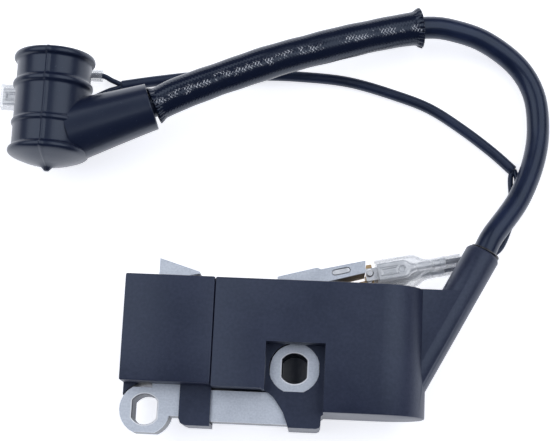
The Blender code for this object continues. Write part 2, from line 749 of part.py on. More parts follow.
def tab_loop(mouth):
    """A blade along the plug's axis, with its foot on the board."""
    d, side = unit(PLUG_ANGLE)[:2], unit(PLUG_ANGLE + 90)[:2]
    spot = np.array(mouth[:2])
    half = 0.5 * TAB_WIDE
    marks = [(-2.3, -half), (4.4, -half), (5.0, -half + 0.6), (5.0, half - 0.6), (4.4, half), (-2.3, half)]
    return [tuple(spot + d * s + side * w) for s, w in marks]


def tabs():
    for key, mouth, level in zip(("kill", "ground"), near_mouths(), (KILL_Z, GROUND_Z)):
        loops = [tab_loop(mouth), circle(rivet_spot(key), RIVET_R + SLIP)]
        plate(f"tab_{key}", loops, level - 0.5 * TAB_THICK, level + 0.5 * TAB_THICK, tinned_brass())


def tab_rivets():
    """Each rivet heads its own tab and ends flush inside the board."""
    wide, low, high = RIVET_R + 0.4, BOARD_BACK + SLIP, BOARD_FRONT - SLIP
    top = KILL_Z + 0.5 * TAB_THICK + SLIP
    foot = GROUND_Z - 0.5 * TAB_THICK - SLIP
    kill = [(0.0, top + 0.4), (wide - 0.3, top + 0.4), (wide, top), (RIVET_R, top), (RIVET_R, low), (0.0, low)]
    ground = [(0.0, high), (RIVET_R, high), (RIVET_R, foot), (wide, foot), (wide - 0.3, foot - 0.4), (0.0, foot - 0.4)]
    for key, profile in (("kill", kill), ("ground", ground)):
        turned(f"tab_rivet_{key}", profile, moved(rivet_spot(key)), 12, tinned_brass())


def clip_section():
    """The receptacle's section: a flat back with two edges rolled inwards, as (up, across)."""
    w, t, s = 0.5 * CLIP_WIDE, 0.5 * CLIP_TALL, CLIP_SHEET
    gap = 0.35
    outer = [(t, gap), (t, w - 0.4), (t - 0.4, w), (-t + 0.3, w), (-t, w - 0.3)]
    mirror_outer = [(x, -y) for x, y in reversed(outer)]
    inner = [(t - s, -gap), (t - s, -w + s + 0.2), (t - s - 0.2, -w + s), (-t + s, -w + s)]
    mirror_inner = [(x, -y) for x, y in reversed(inner)]
    return outer + mirror_outer + inner + mirror_inner


def clip(name, frame):
    """A female receptacle: box, waist and two crimps, in one piece."""
    start = 0.4
    end = start + CLIP_LONG
    made = placed(prism_mesh(name, [clip_section()], start, end), name, tinned_brass(), frame)
    waist = [(-0.95, -1.2), (-0.63, -1.2), (-0.63, 1.2), (-0.95, 1.2)]
    join(
        made,
        hidden(prism_mesh(name + "_waist", [waist], end - 0.5, end + 3.2), name + "_waist", frame),
        hidden(rod_mesh(name + "_crimp", 0.98, end + 2.0, end + 8.6, 12), name + "_crimp", frame),
    )
    return made


def superellipse(half_up, half_across, power, count=20):
    turn = np.linspace(0, math.tau, count, endpoint=False)
    c, s = np.cos(turn), np.sin(turn)
    return half_up * np.sign(c) * np.abs(c) ** (2 / power), half_across * np.sign(s) * np.abs(s) ** (2 / power)


def sleeve_stations():
    """(distance, half height, half width, squareness) along the clear sleeve."""
    flat, taper = SLEEVE_FLAT_LONG, SLEEVE_TAPER
    tall, wide, tail = 0.5 * SLEEVE_TALL, 0.5 * SLEEVE_WIDE, SLEEVE_TAIL_R
    stations = [(0.0, tall, wide, 4.0), (flat, tall, wide, 4.0)]
    stations += [(flat + 0.4 * taper, 0.88 * tall, 0.80 * wide, 3.2), (flat + taper, tail, tail * 1.04, 2.2)]
    return [*stations, (0.5 * (flat + taper + SLEEVE_LONG), tail, tail, 2.0), (SLEEVE_LONG, tail, tail, 2.0)]


def clear_sleeve(name, frame):
    """A loft from a flat mouth to a round tail, as an open surface given a wall."""
    count = 20
    points = []
    for along, up, across, power in sleeve_stations():
        x, y = superellipse(up, across, power, count)
        points += [(a * MM, b * MM, along * MM) for a, b in zip(x, y)]
    rings = len(sleeve_stations())
    faces = [
        (r * count + i, r * count + (i + 1) % count, (r + 1) * count + (i + 1) % count, (r + 1) * count + i)
        for r in range(rings - 1)
        for i in range(count)
    ]
    mesh = bpy.data.meshes.new(name)
    mesh.from_pydata(points, [], faces)
    smooth_by_angle(mesh)
    made = placed(mesh, name, clear_vinyl(), frame)
    wall = made.modifiers.new("wall", "SOLIDIFY")
    wall.thickness = SLEEVE_WALL * MM
    wall.offset = -1.0
    return made


def near_plugs():
    for key, mouth in zip(("kill", "ground"), near_mouths()):
        frame = plug_frame(mouth, PLUG_ANGLE)
        clip(f"terminal_{key}", frame)
        clear_sleeve(f"sleeve_{key}", frame)


def far_plugs():
    for key, mouth in (("kill", FAR_KILL), ("ground", FAR_GROUND)):
        frame = plug_frame(mouth, 0.0)
        clip(f"far_terminal_{key}", frame)
        clear_sleeve(f"far_sleeve_{key}", frame)


# ---------------------------------------------------------------- wires
HARNESS = [
    (77.9, 57.5), (73.4, 61.45), (66.2, 66.8), (58.8, 71.35), (51.35, 74.05), (40.2, 76.95), (29.2, 77.8),
    (21.4, 77.84), (6.4, 77.0), (-3.0, 75.65), (-11.5, 74.1),
]
HARNESS_Z = 1.3
CRIMP_END = 0.4 + CLIP_LONG + 8.6


def harness_tube():
    route = [(x, y, HARNESS_Z) for x, y in HARNESS]
    cord("harness_tube", smooth_route(route, 3.0 * HARNESS_R * 2), HARNESS_R, 2, black_rubber())


def near_wires():
    """From each crimp under the lead to the harness tube, side by side."""
    end = np.array([*HARNESS[0], HARNESS_Z]) + [0.1, -0.1, 0.0]
    for key, mouth, apart in zip(("kill", "ground"), near_mouths(), (0.65, -0.65)):
        d = unit(PLUG_ANGLE)
        start = np.array(mouth) + d * (CRIMP_END + 0.3)
        tail = np.array(mouth) + d * (SLEEVE_LONG + 2.5)
        drop = 1.0 if key == "kill" else 0.35
        route = [start, tail]
        route += [(73.6 + apart, 39.0 - apart, 1.3 + 3.2 * drop), (76.6 + apart, 44.6, 1.3 + 1.4 * drop)]
        route += [(78.1 + apart, 50.0, 1.3 + 0.3 * drop), tuple(end + [0.65 * np.sign(apart), -1.3, 0.0])]
        cord(f"wire_{key}", smooth_route(route, 3.0), WIRE_R, 2, black_rubber())


def far_wires():
    end = np.array([*HARNESS[-1], HARNESS_Z])
    for key, mouth, apart in (("kill", FAR_KILL, -0.7), ("ground", FAR_GROUND, 0.7)):
        start = np.array(mouth) + [CRIMP_END + 0.3, 0.0, 0.0]
        tail = np.array(mouth) + [SLEEVE_LONG + 0.2, 0.0, -0.1]
        route = [start, tail, (end[0] - 2.4, end[1] + 1.7 * apart, 1.5), tuple(end + [-1.1, apart, 0.0])]
        cord(f"far_wire_{key}", smooth_route(route, 1.4), WIRE_R, 2, black_rubber())


# ---------------------------------------------------------------- high-tension lead
LEAD_MIDDLE = [
    (71.96, 39.85, 10.65), (78.3, 49.55, 7.4), (82.1, 59.6, 4.4), (83.15, 67.45, 2.8), (82.15, 75.1, 2.7),
    (78.6, 81.1, 3.2), (71.1, 86.2, 5.0), (64.8, 88.0, 6.4), (57.5, 88.4, 7.6), (29.2, 80.2, 10.9), (13.5, 73.9, 12.2),
    (2.5, 68.9, 12.9),
]
BRAID_FROM = 0.5
BRAID_STOP_X = 56.06


def lead_points():
    """The lead's centre line: in the tower, across, and into the boot's neck."""
    route = [along_tower(-LEAD_IN_TOWER), along_tower(-4.0), along_tower(0.0), *LEAD_MIDDLE]
    route += [along_neck(NECK_LONG), along_neck(16.0), along_neck(8.5)]
    return smooth_route(route, 2.0 * 2 * LEAD_R)


def ht_lead():
    cord("ht_lead", lead_points(), LEAD_R, 3, black_rubber())


def abrasion_sleeve():
    """A braided sleeve on the same centre line, from the boot's neck to past the bend, flared at both ends."""
    line = lead_points()
    neck = along_neck(NECK_LONG + BRAID_FROM)
    inside = (line[:, 0] < BRAID_STOP_X) & (line[:, 0] > neck[0] + 2.0) & (line[:, 1] > 60.0)
    kept = line[inside]
    after = line[np.flatnonzero(inside)[-1] + 1]
    before = line[np.flatnonzero(inside)[0] - 1]
    start = before + (kept[0] - before) * (before[0] - BRAID_STOP_X) / (before[0] - kept[0][0])
    end = kept[-1] + (after - kept[-1]) * (kept[-1][0] - neck[0]) / (kept[-1][0] - after[0])
    points = np.vstack([start, kept, end])
    radii = np.full(len(points), BRAID_R)
    radii[0], radii[-1] = 3.7, 3.9
    curve = tube_curve("abrasion_sleeve", points, radii, 4, caps=False)
    made = placed(curve, "abrasion_sleeve", glass_braid())
    wall = made.modifiers.new("wall", "SOLIDIFY")
    wall.thickness = BRAID_WALL * MM
    wall.offset = -1.0


def lead_seal():
    """The bead of adhesive that closes the tower's mouth round the lead."""
    r = LEAD_R
    profile = [(r + 0.45, 0.9), (r + 0.8, 0.5), (r + 0.9, 0.1), (r + 0.2, 0.1), (r + 0.2, 1.0)]
    turned("lead_seal", profile, tower_frame(0.0), 20, potting_resin(), True)


def ht_contact_pin():
    frame = tower_frame(0.0)
    profile = [(0.0, -8.4), (0.3, -8.4), (0.7, -9.6), (0.7, -27.0), (0.0, -27.0)]
    turned("ht_contact_pin", profile, frame, 10, tinned_brass())


# ---------------------------------------------------------------- boot
def boot_axis_frame():
    """Z along the boot's own axis, towards its open end, from the crossing with the neck's axis."""
    return frame_at(BOOT_CROSS, (0.0, 1.0, 0.0), (1.0, 0.0, 0.0))


def boot_profile():
    """Down the outside from the rim: rings and waist to the dome, then closed on the axis."""
    y0 = BOOT_CROSS[1]
    over = [
        (0.1, 77.0), (0.65, 76.9), (0.9, 76.4), (0.9, 75.6), (0.6, 75.1), (0.0, 74.8),
        (0.0, 70.6), (0.4, 70.3), (0.7, 69.9), (0.7, 69.2), (0.4, 68.8), (-0.05, 68.5),
        (-0.05, 61.9), (0.25, 61.6), (0.35, 60.9), (0.25, 60.2), (-0.05, 59.9),
        (0.0, 55.9), (0.5, 55.5), (0.75, 55.0), (0.75, 54.4), (0.4, 53.9), (-0.2, 53.5),
    ]
    marks = [(BOOT_R + grow, y) for grow, y in over]
    marks += [(0.57 * BOOT_R, 52.2), (1.5, 51.5), (1.2, BOOT_TIP), (0.0, BOOT_TIP)]
    return [(0.0, BOOT_RIM - y0), *[(r, y - y0) for r, y in marks]]


def neck_frame():
    return frame_at(BOOT_CROSS, unit(NECK_ANGLE), (0.0, 0.0, 1.0))


def boot():
    body = spin(placed(profile_mesh("boot", boot_profile(), False), "boot", black_rubber(), boot_axis_frame()), 36)
    y0 = BOOT_CROSS[1]
    neck = rod_mesh("neck_piece", 7.0, 2.0, NECK_LONG, 28, 4.85)
    join(body, hidden(neck, "neck_piece", neck_frame()))
    lip = rod_mesh("boot_lip_cut", BOOT_CAVITY_R, BOOT_RIM - y0 - 1.2, BOOT_RIM - y0 + 0.8, 28, BOOT_CAVITY_R + 1.6)
    cut(
        body,
        hidden(rod_mesh("boot_cavity", BOOT_CAVITY_R, BOOT_FLOOR - y0, BOOT_RIM - y0 + 1.0, 28), "boot_cavity", boot_axis_frame()),
        hidden(lip, "boot_lip_cut", boot_axis_frame()),
        hidden(rod_mesh("neck_bore", LEAD_R + NECK_CLEAR, 3.0, NECK_LONG + 1.0, 24), "neck_bore", neck_frame()),
    )


def boot_contact_spring():
    """A coil spring in the boot with a leg back to the lead."""
    y0 = BOOT_CROSS[1]
    turn = np.linspace(0.0, 5.0 * math.tau, 56)
    rise = np.linspace(58.9 - y0, 65.2 - y0, 56)
    coil = np.stack([3.3 * np.cos(turn), 3.3 * np.sin(turn), rise], axis=1)
    leg = np.array([[1.0, 0.0, 57.2 - y0], [2.2, 0.0, 57.6 - y0]])
    curve = tube_curve("boot_contact_spring", np.vstack([leg, coil]), 0.45, 1)
    placed(curve, "boot_contact_spring", tinned_brass(), boot_axis_frame())


# ---------------------------------------------------------------- assembly
LOOSE = ("ht_lead", "abrasion_sleeve", "boot", "wire_", "harness_tube", "far_")


def settle():
    """Moves the whole object so that the rigid part's box stands on the origin, centred in plan."""
    bpy.context.view_layer.update()
    graph = bpy.context.evaluated_depsgraph_get()
    low, high = np.full(3, np.inf), np.full(3, -np.inf)
    for thing in SHOWN.objects:
        if thing.name.startswith(LOOSE):
            continue
        mesh = thing.evaluated_get(graph).to_mesh()
        spots = np.empty(len(mesh.vertices) * 3)
        mesh.vertices.foreach_get("co", spots)
        world = np.array(thing.matrix_world)
        spots = spots.reshape(-1, 3) @ world[:3, :3].T + world[:3, 3]
        low, high = np.minimum(low, spots.min(axis=0)), np.maximum(high, spots.max(axis=0))
        thing.evaluated_get(graph).to_mesh_clear()
    shift = Vector((-0.5 * (low[0] + high[0]), -0.5 * (low[1] + high[1]), -low[2]))
    for thing in [*SHOWN.objects, *HELPERS.objects]:
        thing.matrix_world = Matrix.Translation(shift) @ thing.matrix_world
    print("settled by", [round(v / MM, 4) for v in shift])


clear_scene()
SHOWN = new_collection("ignition_coil", True)
HELPERS = new_collection("ignition_coil_cutters", False)
for make in (
    laminations, interlock_pins, charge_housing, charge_bobbin, charge_winding, charge_potting, coil_housing,
    ht_core_rod, primary_coil, secondary_coil, trigger_winding, circuit_board, board_components, main_potting,
    terminal_board, tabs, tab_rivets, near_plugs, far_plugs, harness_tube, near_wires, far_wires, ht_lead,
    abrasion_sleeve, lead_seal, ht_contact_pin, boot, boot_contact_spring, settle,
):
    make()
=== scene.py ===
# %% [markdown]
# # An ignition coil, lying on its back
# A small engine makes its spark with this part: a stack of steel sheets carries the flywheel's magnetism
# through two windings, a black moulding holds the high-voltage coil, and a thick lead takes the spark to
# the plug. Each cell makes one piece or one finish. Every shape is worked out with numpy and put into a
# mesh in one go.

# %% Load the working model
import math

import bmesh
import bpy
import numpy as np
from mathutils import Matrix, Vector


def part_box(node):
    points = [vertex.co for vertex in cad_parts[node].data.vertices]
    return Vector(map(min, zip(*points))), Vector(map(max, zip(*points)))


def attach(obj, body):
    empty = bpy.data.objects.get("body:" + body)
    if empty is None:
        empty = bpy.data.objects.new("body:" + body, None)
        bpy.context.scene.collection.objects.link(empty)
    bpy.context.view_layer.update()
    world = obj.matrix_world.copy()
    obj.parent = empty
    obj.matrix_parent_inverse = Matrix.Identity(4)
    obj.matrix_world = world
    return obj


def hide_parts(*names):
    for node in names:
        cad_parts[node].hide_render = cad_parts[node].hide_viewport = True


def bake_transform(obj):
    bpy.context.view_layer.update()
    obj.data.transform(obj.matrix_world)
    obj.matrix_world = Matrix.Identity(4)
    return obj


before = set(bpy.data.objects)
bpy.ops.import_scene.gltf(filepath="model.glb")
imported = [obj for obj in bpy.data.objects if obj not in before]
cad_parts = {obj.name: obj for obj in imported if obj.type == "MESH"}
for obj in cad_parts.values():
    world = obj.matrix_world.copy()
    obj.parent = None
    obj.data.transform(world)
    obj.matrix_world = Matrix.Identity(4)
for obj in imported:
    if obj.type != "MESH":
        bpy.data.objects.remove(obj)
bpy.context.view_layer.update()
MM = 0.001

# %% [markdown]
# ## A drawing datum
# The drawing measures everything in millimetres from the centre of the left screw hole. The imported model
# has its origin elsewhere, so one helper moves a drawing point there. The steel sheet's own box gives the
# shift: its left edge is 5.3 mm left of the hole, and its lowest edge is 4.75 mm below it.

# %% Points on the drawing
EAR_RADIUS, EAR_FLAT = 5.3, 4.75
sheet_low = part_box("lamination_8")[0]
DATUM = np.array([sheet_low[0] + EAR_RADIUS * MM, sheet_low[1] + EAR_FLAT * MM, 0.0])


def at(*spot):
    """Drawing millimetres to the model's metres, for one point or an array of points."""
    return DATUM + np.asarray(spot if len(spot) > 1 else spot[0], float) * MM


print("datum", DATUM.round(5))

# %% [markdown]
# ## The camera
# The coil is seen from above, from a little below its mounting holes. The lens is long enough to keep the
# housing's sides nearly straight. A camera looks along its own -Z, so its three axes are the columns of its
# matrix.

# %% Camera
CAMERA_AWAY = 308.0
LENS_LONG, SENSOR_WIDE = 92.75, 36.0
LOOK_AT = (25.334, 42.211, 10.0)
TILT, SWING, ROLL = math.radians(12.0), math.radians(1.5), math.radians(2.3)


def camera_axes():
    """Right, up and back: the table's axes rolled, then the back axis leant by the tilt and the swing."""
    right = np.array([math.cos(ROLL), math.sin(ROLL), 0.0])
    up = np.array([-math.sin(ROLL), math.cos(ROLL), 0.0])
    back = right * math.sin(SWING) - up * math.sin(TILT) * math.cos(SWING)
    back = back + np.array([0.0, 0.0, math.cos(TILT) * math.cos(SWING)])
    back /= np.linalg.norm(back)
    right = right - (right @ back) * back
    right /= np.linalg.norm(right)
    return right, np.cross(back, right), back


right, up, back = camera_axes()
lens = bpy.data.cameras.new("studio_camera")
lens.lens, lens.sensor_width, lens.clip_start = LENS_LONG, SENSOR_WIDE, 0.01
camera = bpy.data.objects.new("studio_camera", lens)
bpy.context.scene.collection.objects.link(camera)
columns = np.stack([right, up, back, np.zeros(3)], axis=1)
camera.matrix_world = Matrix(columns.tolist() + [[0, 0, 0, 1]])
camera.location = at(LOOK_AT) + CAMERA_AWAY * MM * back
bpy.context.scene.camera = camera
print("camera at", np.round(camera.location, 4))

# %% [markdown]
# ## Surfaces from arrays
# A surface here is a grid of points: rows along the piece and columns round it. One helper puts a grid into
# a mesh and joins its columns into a loop. Rows that shrink to one point become a pole, which the merge
# closes.

# %% Grids into meshes


def grid_faces(rows, columns, wrap):
    """The four corners of every face of a grid, as one array: each face joins a column to the next."""
    r, c = np.meshgrid(np.arange(rows - 1), np.arange(columns if wrap else columns - 1), indexing="ij")
    n = (c + 1) % columns
    here, after = r * columns, (r + 1) * columns
    return np.stack([here + c, here + n, after + n, after + c], axis=-1).reshape(-1, 4)


def grid_piece(name, points, wrap=True, uv=None, flip=False):
    """A mesh object from a (rows, columns, 3) grid in metres, with its poles merged and its faces smooth."""
    rows, columns = points.shape[:2]
    faces = grid_faces(rows, columns, wrap)
    if flip:
        faces = faces[:, ::-1]
    mesh = bpy.data.meshes.new(name)
    mesh.from_pydata(points.reshape(-1, 3).tolist(), [], faces.tolist())
    if uv is not None:
        write_uv(mesh, faces, uv, columns)
    merge_doubles(mesh, 1e-7)
    mesh.shade_smooth()
    piece = bpy.data.objects.new(name, mesh)
    bpy.context.scene.collection.objects.link(piece)
    return piece


def write_uv(mesh, faces, uv, columns):
    """UVs for every corner; in the closing column the first coordinate goes on to 1 instead of back to 0."""
    corner = uv.reshape(-1, 2)[faces.reshape(-1)].reshape(-1, 4, 2)
    columns_of = (faces % columns).reshape(-1, 4)
    closing = (columns_of.max(axis=1) == columns - 1) & (columns_of.min(axis=1) == 0)
    corner[..., 0] += np.where(closing[:, None] & (columns_of == 0), 1.0, 0.0)
    layer = mesh.uv_layers.new(name="along")
    layer.data.foreach_set("uv", corner.astype(np.float32).ravel())


def merge_doubles(mesh, distance):
    """Joins corners that share a place, and lets any face that has collapsed go."""
    shape = bmesh.new()
    shape.from_mesh(mesh)
    bmesh.ops.remove_doubles(shape, verts=shape.verts, dist=distance)
    bmesh.ops.dissolve_degenerate(shape, edges=shape.edges, dist=distance)
    shape.to_mesh(mesh)
    shape.free()


# %% [markdown]
# ## Lines and tubes
# A lead is a circle carried along a line. The line is a smooth curve through a few route points, and at
# each point of it the circle needs two directions across: one level, from the line and the vertical, and
# one square to both.

# %% Smooth lines


def smooth_line(route, spacing):
    """Even points on a curve through the route: a span blends four route points by the root of their gaps."""
    points = np.asarray(route, float)
    padded = np.vstack([2 * points[0] - points[1], points, 2 * points[-1] - points[-2]])
    knots = np.concatenate([[0.0], np.cumsum(np.sqrt(np.linalg.norm(np.diff(padded, axis=0), axis=1)))])
    spans = [blend_span(padded[i : i + 4], knots[i : i + 4]) for i in range(len(padded) - 3)]
    fine = np.vstack([*spans, points[-1:]])
    run = np.concatenate([[0.0], np.cumsum(np.linalg.norm(np.diff(fine, axis=0), axis=1))])
    even = np.linspace(0.0, run[-1], int(math.ceil(run[-1] / spacing)) + 1)
    return np.stack([np.interp(even, run, fine[:, axis]) for axis in range(3)], axis=1)


def blend_span(p, k):
    """Three rounds of straight blending between four points and their knots."""
    t = np.linspace(k[1], k[2], 24, endpoint=False)[:, None]
    a = [((k[j + 1] - t) * p[j] + (t - k[j]) * p[j + 1]) / (k[j + 1] - k[j]) for j in range(3)]
    b = [((k[j + 2] - t) * a[j] + (t - k[j]) * a[j + 1]) / (k[j + 2] - k[j]) for j in range(2)]
    return ((k[2] - t) * b[0] + (t - k[1]) * b[1]) / (k[2] - k[1])


def line_length(line):
    return float(np.linalg.norm(np.diff(line, axis=0), axis=1).sum())


def line_frames(line):
    """Along, level and square-to-both directions at each point of a line that never stands upright."""
    along = np.gradient(line, axis=0)
    along /= np.linalg.norm(along, axis=1, keepdims=True)
    level = np.cross(along, [0.0, 0.0, 1.0])
    level /= np.linalg.norm(level, axis=1, keepdims=True)
    return along, level, np.cross(level, along)


def tube_grid(line, radius, sides):
    """A circle carried along the line: point plus radius (a number or a grid) times (cosine, sine) across."""
    _, level, over = line_frames(line)
    turn = np.linspace(0.0, math.tau, sides, endpoint=False)
    radius = np.broadcast_to(np.asarray(radius, float).reshape(len(line), -1), (len(line), sides))[..., None]
    ring = np.cos(turn)[None, :, None] * level[:, None] + np.sin(turn)[None, :, None] * over[:, None]
    return line[:, None] + radius * ring


def tube_uv(rows, sides):
    """Round the tube in the first coordinate and along it in the second, both from 0 to 1."""
    v, u = np.meshgrid(np.linspace(0, 1, rows), np.arange(sides) / sides, indexing="ij")
    return np.stack([u, v], axis=-1)


def closed_tube(name, line, radius, sides):
    """A tube with both ends eased over and closed on the line itself."""
    ease = np.array([0.0, 0.75, 0.94, 1.0])
    lead_in = np.array([0.0, 0.02, 0.10, 0.25])[:, None] * radius
    first, last = line[1] - line[0], line[-1] - line[-2]
    start = line[0] + lead_in * first / np.linalg.norm(first)
    end = line[-1] - lead_in[::-1] * last / np.linalg.norm(last)
    whole = np.vstack([start, line[1:-1], end])
    size = np.concatenate([ease, np.ones(len(line) - 2), ease[::-1]]) * radius
    return grid_piece(name, tube_grid(whole, size, sides), uv=tube_uv(len(whole), sides))


# %% [markdown]
# ## The high-tension lead
# The lead leaves the tower, bends round to the right, lies on the table and climbs to the boot's neck. It
# is one free cord of known length, so it is made first. The route's points are the working model's own.

# %% The lead's line
TOWER_MOUTH, TOWER_ANGLE = np.array([70.55, 36.78, 11.05]), math.radians(62.0)
BOOT_CROSS, NECK_ANGLE, NECK_LONG = np.array([-24.8, 58.0, 13.1]), math.radians(19.9), 23.5
TOWER_WAY = np.array([math.cos(TOWER_ANGLE), math.sin(TOWER_ANGLE), 0.0])
NECK_WAY = np.array([math.cos(NECK_ANGLE), math.sin(NECK_ANGLE), 0.0])
LEAD_RADIUS = 2.5
LEAD_MIDDLE = [
    (71.96, 39.85, 10.65), (78.3, 49.55, 7.4), (82.1, 59.6, 4.4), (83.15, 67.45, 2.8),
    (82.15, 75.1, 2.7), (78.6, 81.1, 3.2), (71.1, 86.2, 5.0), (64.8, 88.0, 6.4),
    (57.5, 88.4, 7.6), (29.2, 80.2, 10.9), (13.5, 73.9, 12.2), (2.5, 68.9, 12.9),
]
lead_route = [TOWER_MOUTH - 8.0 * TOWER_WAY, TOWER_MOUTH - 4.0 * TOWER_WAY, TOWER_MOUTH, *LEAD_MIDDLE]
lead_route += [BOOT_CROSS + s * NECK_WAY for s in (NECK_LONG, 16.0, 8.5)]
lead_line = at(smooth_line(lead_route, 1.6))
lead = closed_tube("ht_lead_jacket", lead_line, LEAD_RADIUS * MM, 48)
print("lead", round(line_length(lead_line), 4), "m in", len(lead_line), "points")

# %% The harness tube's line
HARNESS_RADIUS, HARNESS_LEVEL = 1.2, 1.3
HARNESS = [
    (77.9, 57.5), (73.4, 61.45), (66.2, 66.8), (58.8, 71.35), (51.35, 74.05), (40.2, 76.95), (29.2, 77.8),
    (21.4, 77.84), (6.4, 77.0), (-3.0, 75.65), (-11.5, 74.1),
]
harness_line = at(smooth_line([(x, y, HARNESS_LEVEL) for x, y in HARNESS], 1.5))
harness = closed_tube("harness_jacket", harness_line, HARNESS_RADIUS * MM, 24)
print("harness", round(line_length(harness_line), 4), "m")

# %% [markdown]
# ## Shader maths as Python
# A finish is a small network of nodes. Written out by hand it is long and hard to read, so a wrapped socket
# takes ordinary operators, and each operator adds the Math node that it stands for.

# %% The wrapped socket


class Value:
    """A node's output that can be added, subtracted and multiplied like a number."""

    def __init__(self, finish, socket):
        self.finish, self.socket = finish, socket

    def maths(self, how, *values):
        return self.finish.node("ShaderNodeMath", {"operation": how}, list(values))

    def __add__(self, other):
        return self.maths("ADD", self, other)

    def __sub__(self, other):
        return self.maths("SUBTRACT", self, other)

    def __rsub__(self, other):
        return self.maths("SUBTRACT", other, self)

    def __mul__(self, other):
        return self.maths("MULTIPLY", self, other)

    __radd__, __rmul__ = __add__, __mul__

    def ramp(self, low, high):
        """From 0 at low to 1 at high, eased at both ends."""
        settings = {"interpolation_type": "SMOOTHSTEP"}
        inputs = {"Value": self, "From Min": low, "From Max": high}
        return self.finish.node("ShaderNodeMapRange", settings, inputs)


class Finish:
    """A material, and one method that adds any node to it."""

    def __init__(self, name, **constants):
        self.material = bpy.data.materials.new(name)
        self.material.use_nodes = True
        self.tree = self.material.node_tree
        self.shader = self.tree.nodes["Principled BSDF"]
        for socket, value in constants.items():
            self.shader.inputs[socket.replace("_", " ")].default_value = value

    def node(self, kind, settings=None, inputs=None, output=0):
        """Adds a node: its settings first, then its inputs, each a number, a colour or a link."""
        made = self.tree.nodes.new(kind)
        for key, value in (settings or {}).items():
            setattr(made, key, value)
        pairs = enumerate(inputs) if isinstance(inputs, list) else (inputs or {}).items()
        for key, value in pairs:
            if isinstance(value, Value):
                self.tree.links.new(value.socket, made.inputs[key])
            else:
                made.inputs[key].default_value = value
        return Value(self, made.outputs[output])

    def feed(self, **links):
        """Links values to the shader's own sockets."""
        for socket, value in links.items():
            self.tree.links.new(value.socket, self.shader.inputs[socket.replace("_", " ")])
        return self

    def place(self):
        return self.node("ShaderNodeTexCoord", output="Object")

    def noise(self, scale, detail=3.0, where=None, rough=0.55):
        inputs = {"Scale": scale, "Detail": detail, "Roughness": rough, "Vector": where or self.place()}
        return self.node("ShaderNodeTexNoise", None, inputs)

    def stretched(self, scale):
        """Object coordinates scaled by a different amount on each axis."""
        return self.node("ShaderNodeMapping", None, {"Vector": self.place(), "Scale": scale})

    def blend(self, share, first, second):
        """A colour between two colours."""
        mix = self.node("ShaderNodeMix", {"data_type": "RGBA"}, None, output=2)
        sockets = mix.socket.node.inputs
        for index, value in ((0, share), (6, first), (7, second)):
            if isinstance(value, Value):
                self.tree.links.new(value.socket, sockets[index])
            else:
                sockets[index].default_value = value if index == 0 else (*value, 1.0)
        return mix

    def bump(self, height, strength, depth, under=None):
        inputs = {"Height": height, "Strength": strength, "Distance": depth}
        if under is not None:
            inputs["Normal"] = under
        return self.node("ShaderNodeBump", None, inputs)


def paint(piece, finish):
    """Gives the piece this finish alone."""
    piece.data.materials.clear()
    piece.data.materials.append(finish.material)
    return piece


# %% [markdown]
# ## Finishes
# Black plastic and black rubber are nearly the same colour, and differ in how they take the light. The
# moulding has a fine even grain and a soft sheen, the rubber of the boot is smoother and glossier, and the
# lead's jacket is drawn through a die, so it carries faint lines along its length.

# %% Moulded housing plastic
COOL = (0.70, 0.82, 1.0, 1.0)


def moulding_finish():
    finish = Finish("moulded_housing", Specular_IOR_Level=0.62, Specular_Tint=COOL)
    cloud = finish.noise(90.0, 4.0)
    speck = finish.noise(1500.0, 2.0)
    grain = finish.noise(5200.0, 2.0)
    tone = (cloud * 0.6 + speck * 0.4).ramp(0.32, 0.68)
    finish.feed(
        Base_Color=finish.blend(tone, (0.017, 0.021, 0.045), (0.032, 0.037, 0.070)),
        Roughness=0.34 + cloud * 0.12,
        Normal=finish.bump(grain * 0.7 + speck * 0.5, 0.32, 0.00006),
    )
    return finish


moulding = moulding_finish()

# %% Rubber of the boot


def rubber_finish():
    finish = Finish("boot_rubber", Specular_IOR_Level=0.62, Specular_Tint=COOL, Coat_Roughness=0.22)
    cloud = finish.noise(130.0, 3.0)
    dust = finish.noise(2600.0, 2.0).ramp(0.66, 0.78)
    finish.feed(
        Base_Color=finish.blend(dust * 0.6, (0.006, 0.010, 0.030), (0.060, 0.075, 0.120)),
        Roughness=0.27 + cloud * 0.14,
        Coat_Weight=0.10 + cloud * 0.25,
        Normal=finish.bump(finish.noise(900.0, 3.0), 0.12, 0.00012),
    )
    return finish


boot_rubber = rubber_finish()

# %% Jackets of the lead and the wires


def jacket_finish(name, base, roughness, lines):
    """Colour and gloss with faint die lines: noise that is stretched along the tube's own UV."""
    finish = Finish(name, Specular_IOR_Level=0.6, Specular_Tint=COOL)
    uv = finish.node("ShaderNodeUVMap", {"uv_map": "along"})
    drawn = finish.node("ShaderNodeMapping", None, {"Vector": uv, "Scale": (lines, 9.0, 1.0)})
    streak = finish.noise(1.0, 3.0, drawn)
    cloud = finish.noise(160.0, 3.0)
    lighter = tuple(2.2 * c + 0.004 for c in base)
    finish.feed(
        Base_Color=finish.blend((streak * 0.5 + cloud * 0.5).ramp(0.35, 0.75), base, lighter),
        Roughness=roughness + cloud * 0.12,
        Normal=finish.bump(streak, 0.10, 0.00010),
    )
    return finish


lead_jacket = jacket_finish("lead_jacket", (0.005, 0.009, 0.028), 0.24, 70.0)
wire_jacket = jacket_finish("wire_jacket", (0.006, 0.010, 0.028), 0.34, 30.0)

# %% Core steel
HOLES = ((0.0, 0.0), (31.0, 9.8))
HOLE_WIDE, HOLE_TALL = 5.3, 6.4
# where the painted shade on a hole's wall fades out
HOLE_SHADE_FROM, HOLE_SHADE_TO = 0.03 * MM, 0.07 * MM
# where the painted highlight round each hole fades out
GLINT_FROM, GLINT_TO = 0.24 * MM, 0.36 * MM
# painted shade on the six middle sheets of the stack
STACK_PAINTED_SHADE = 0.30


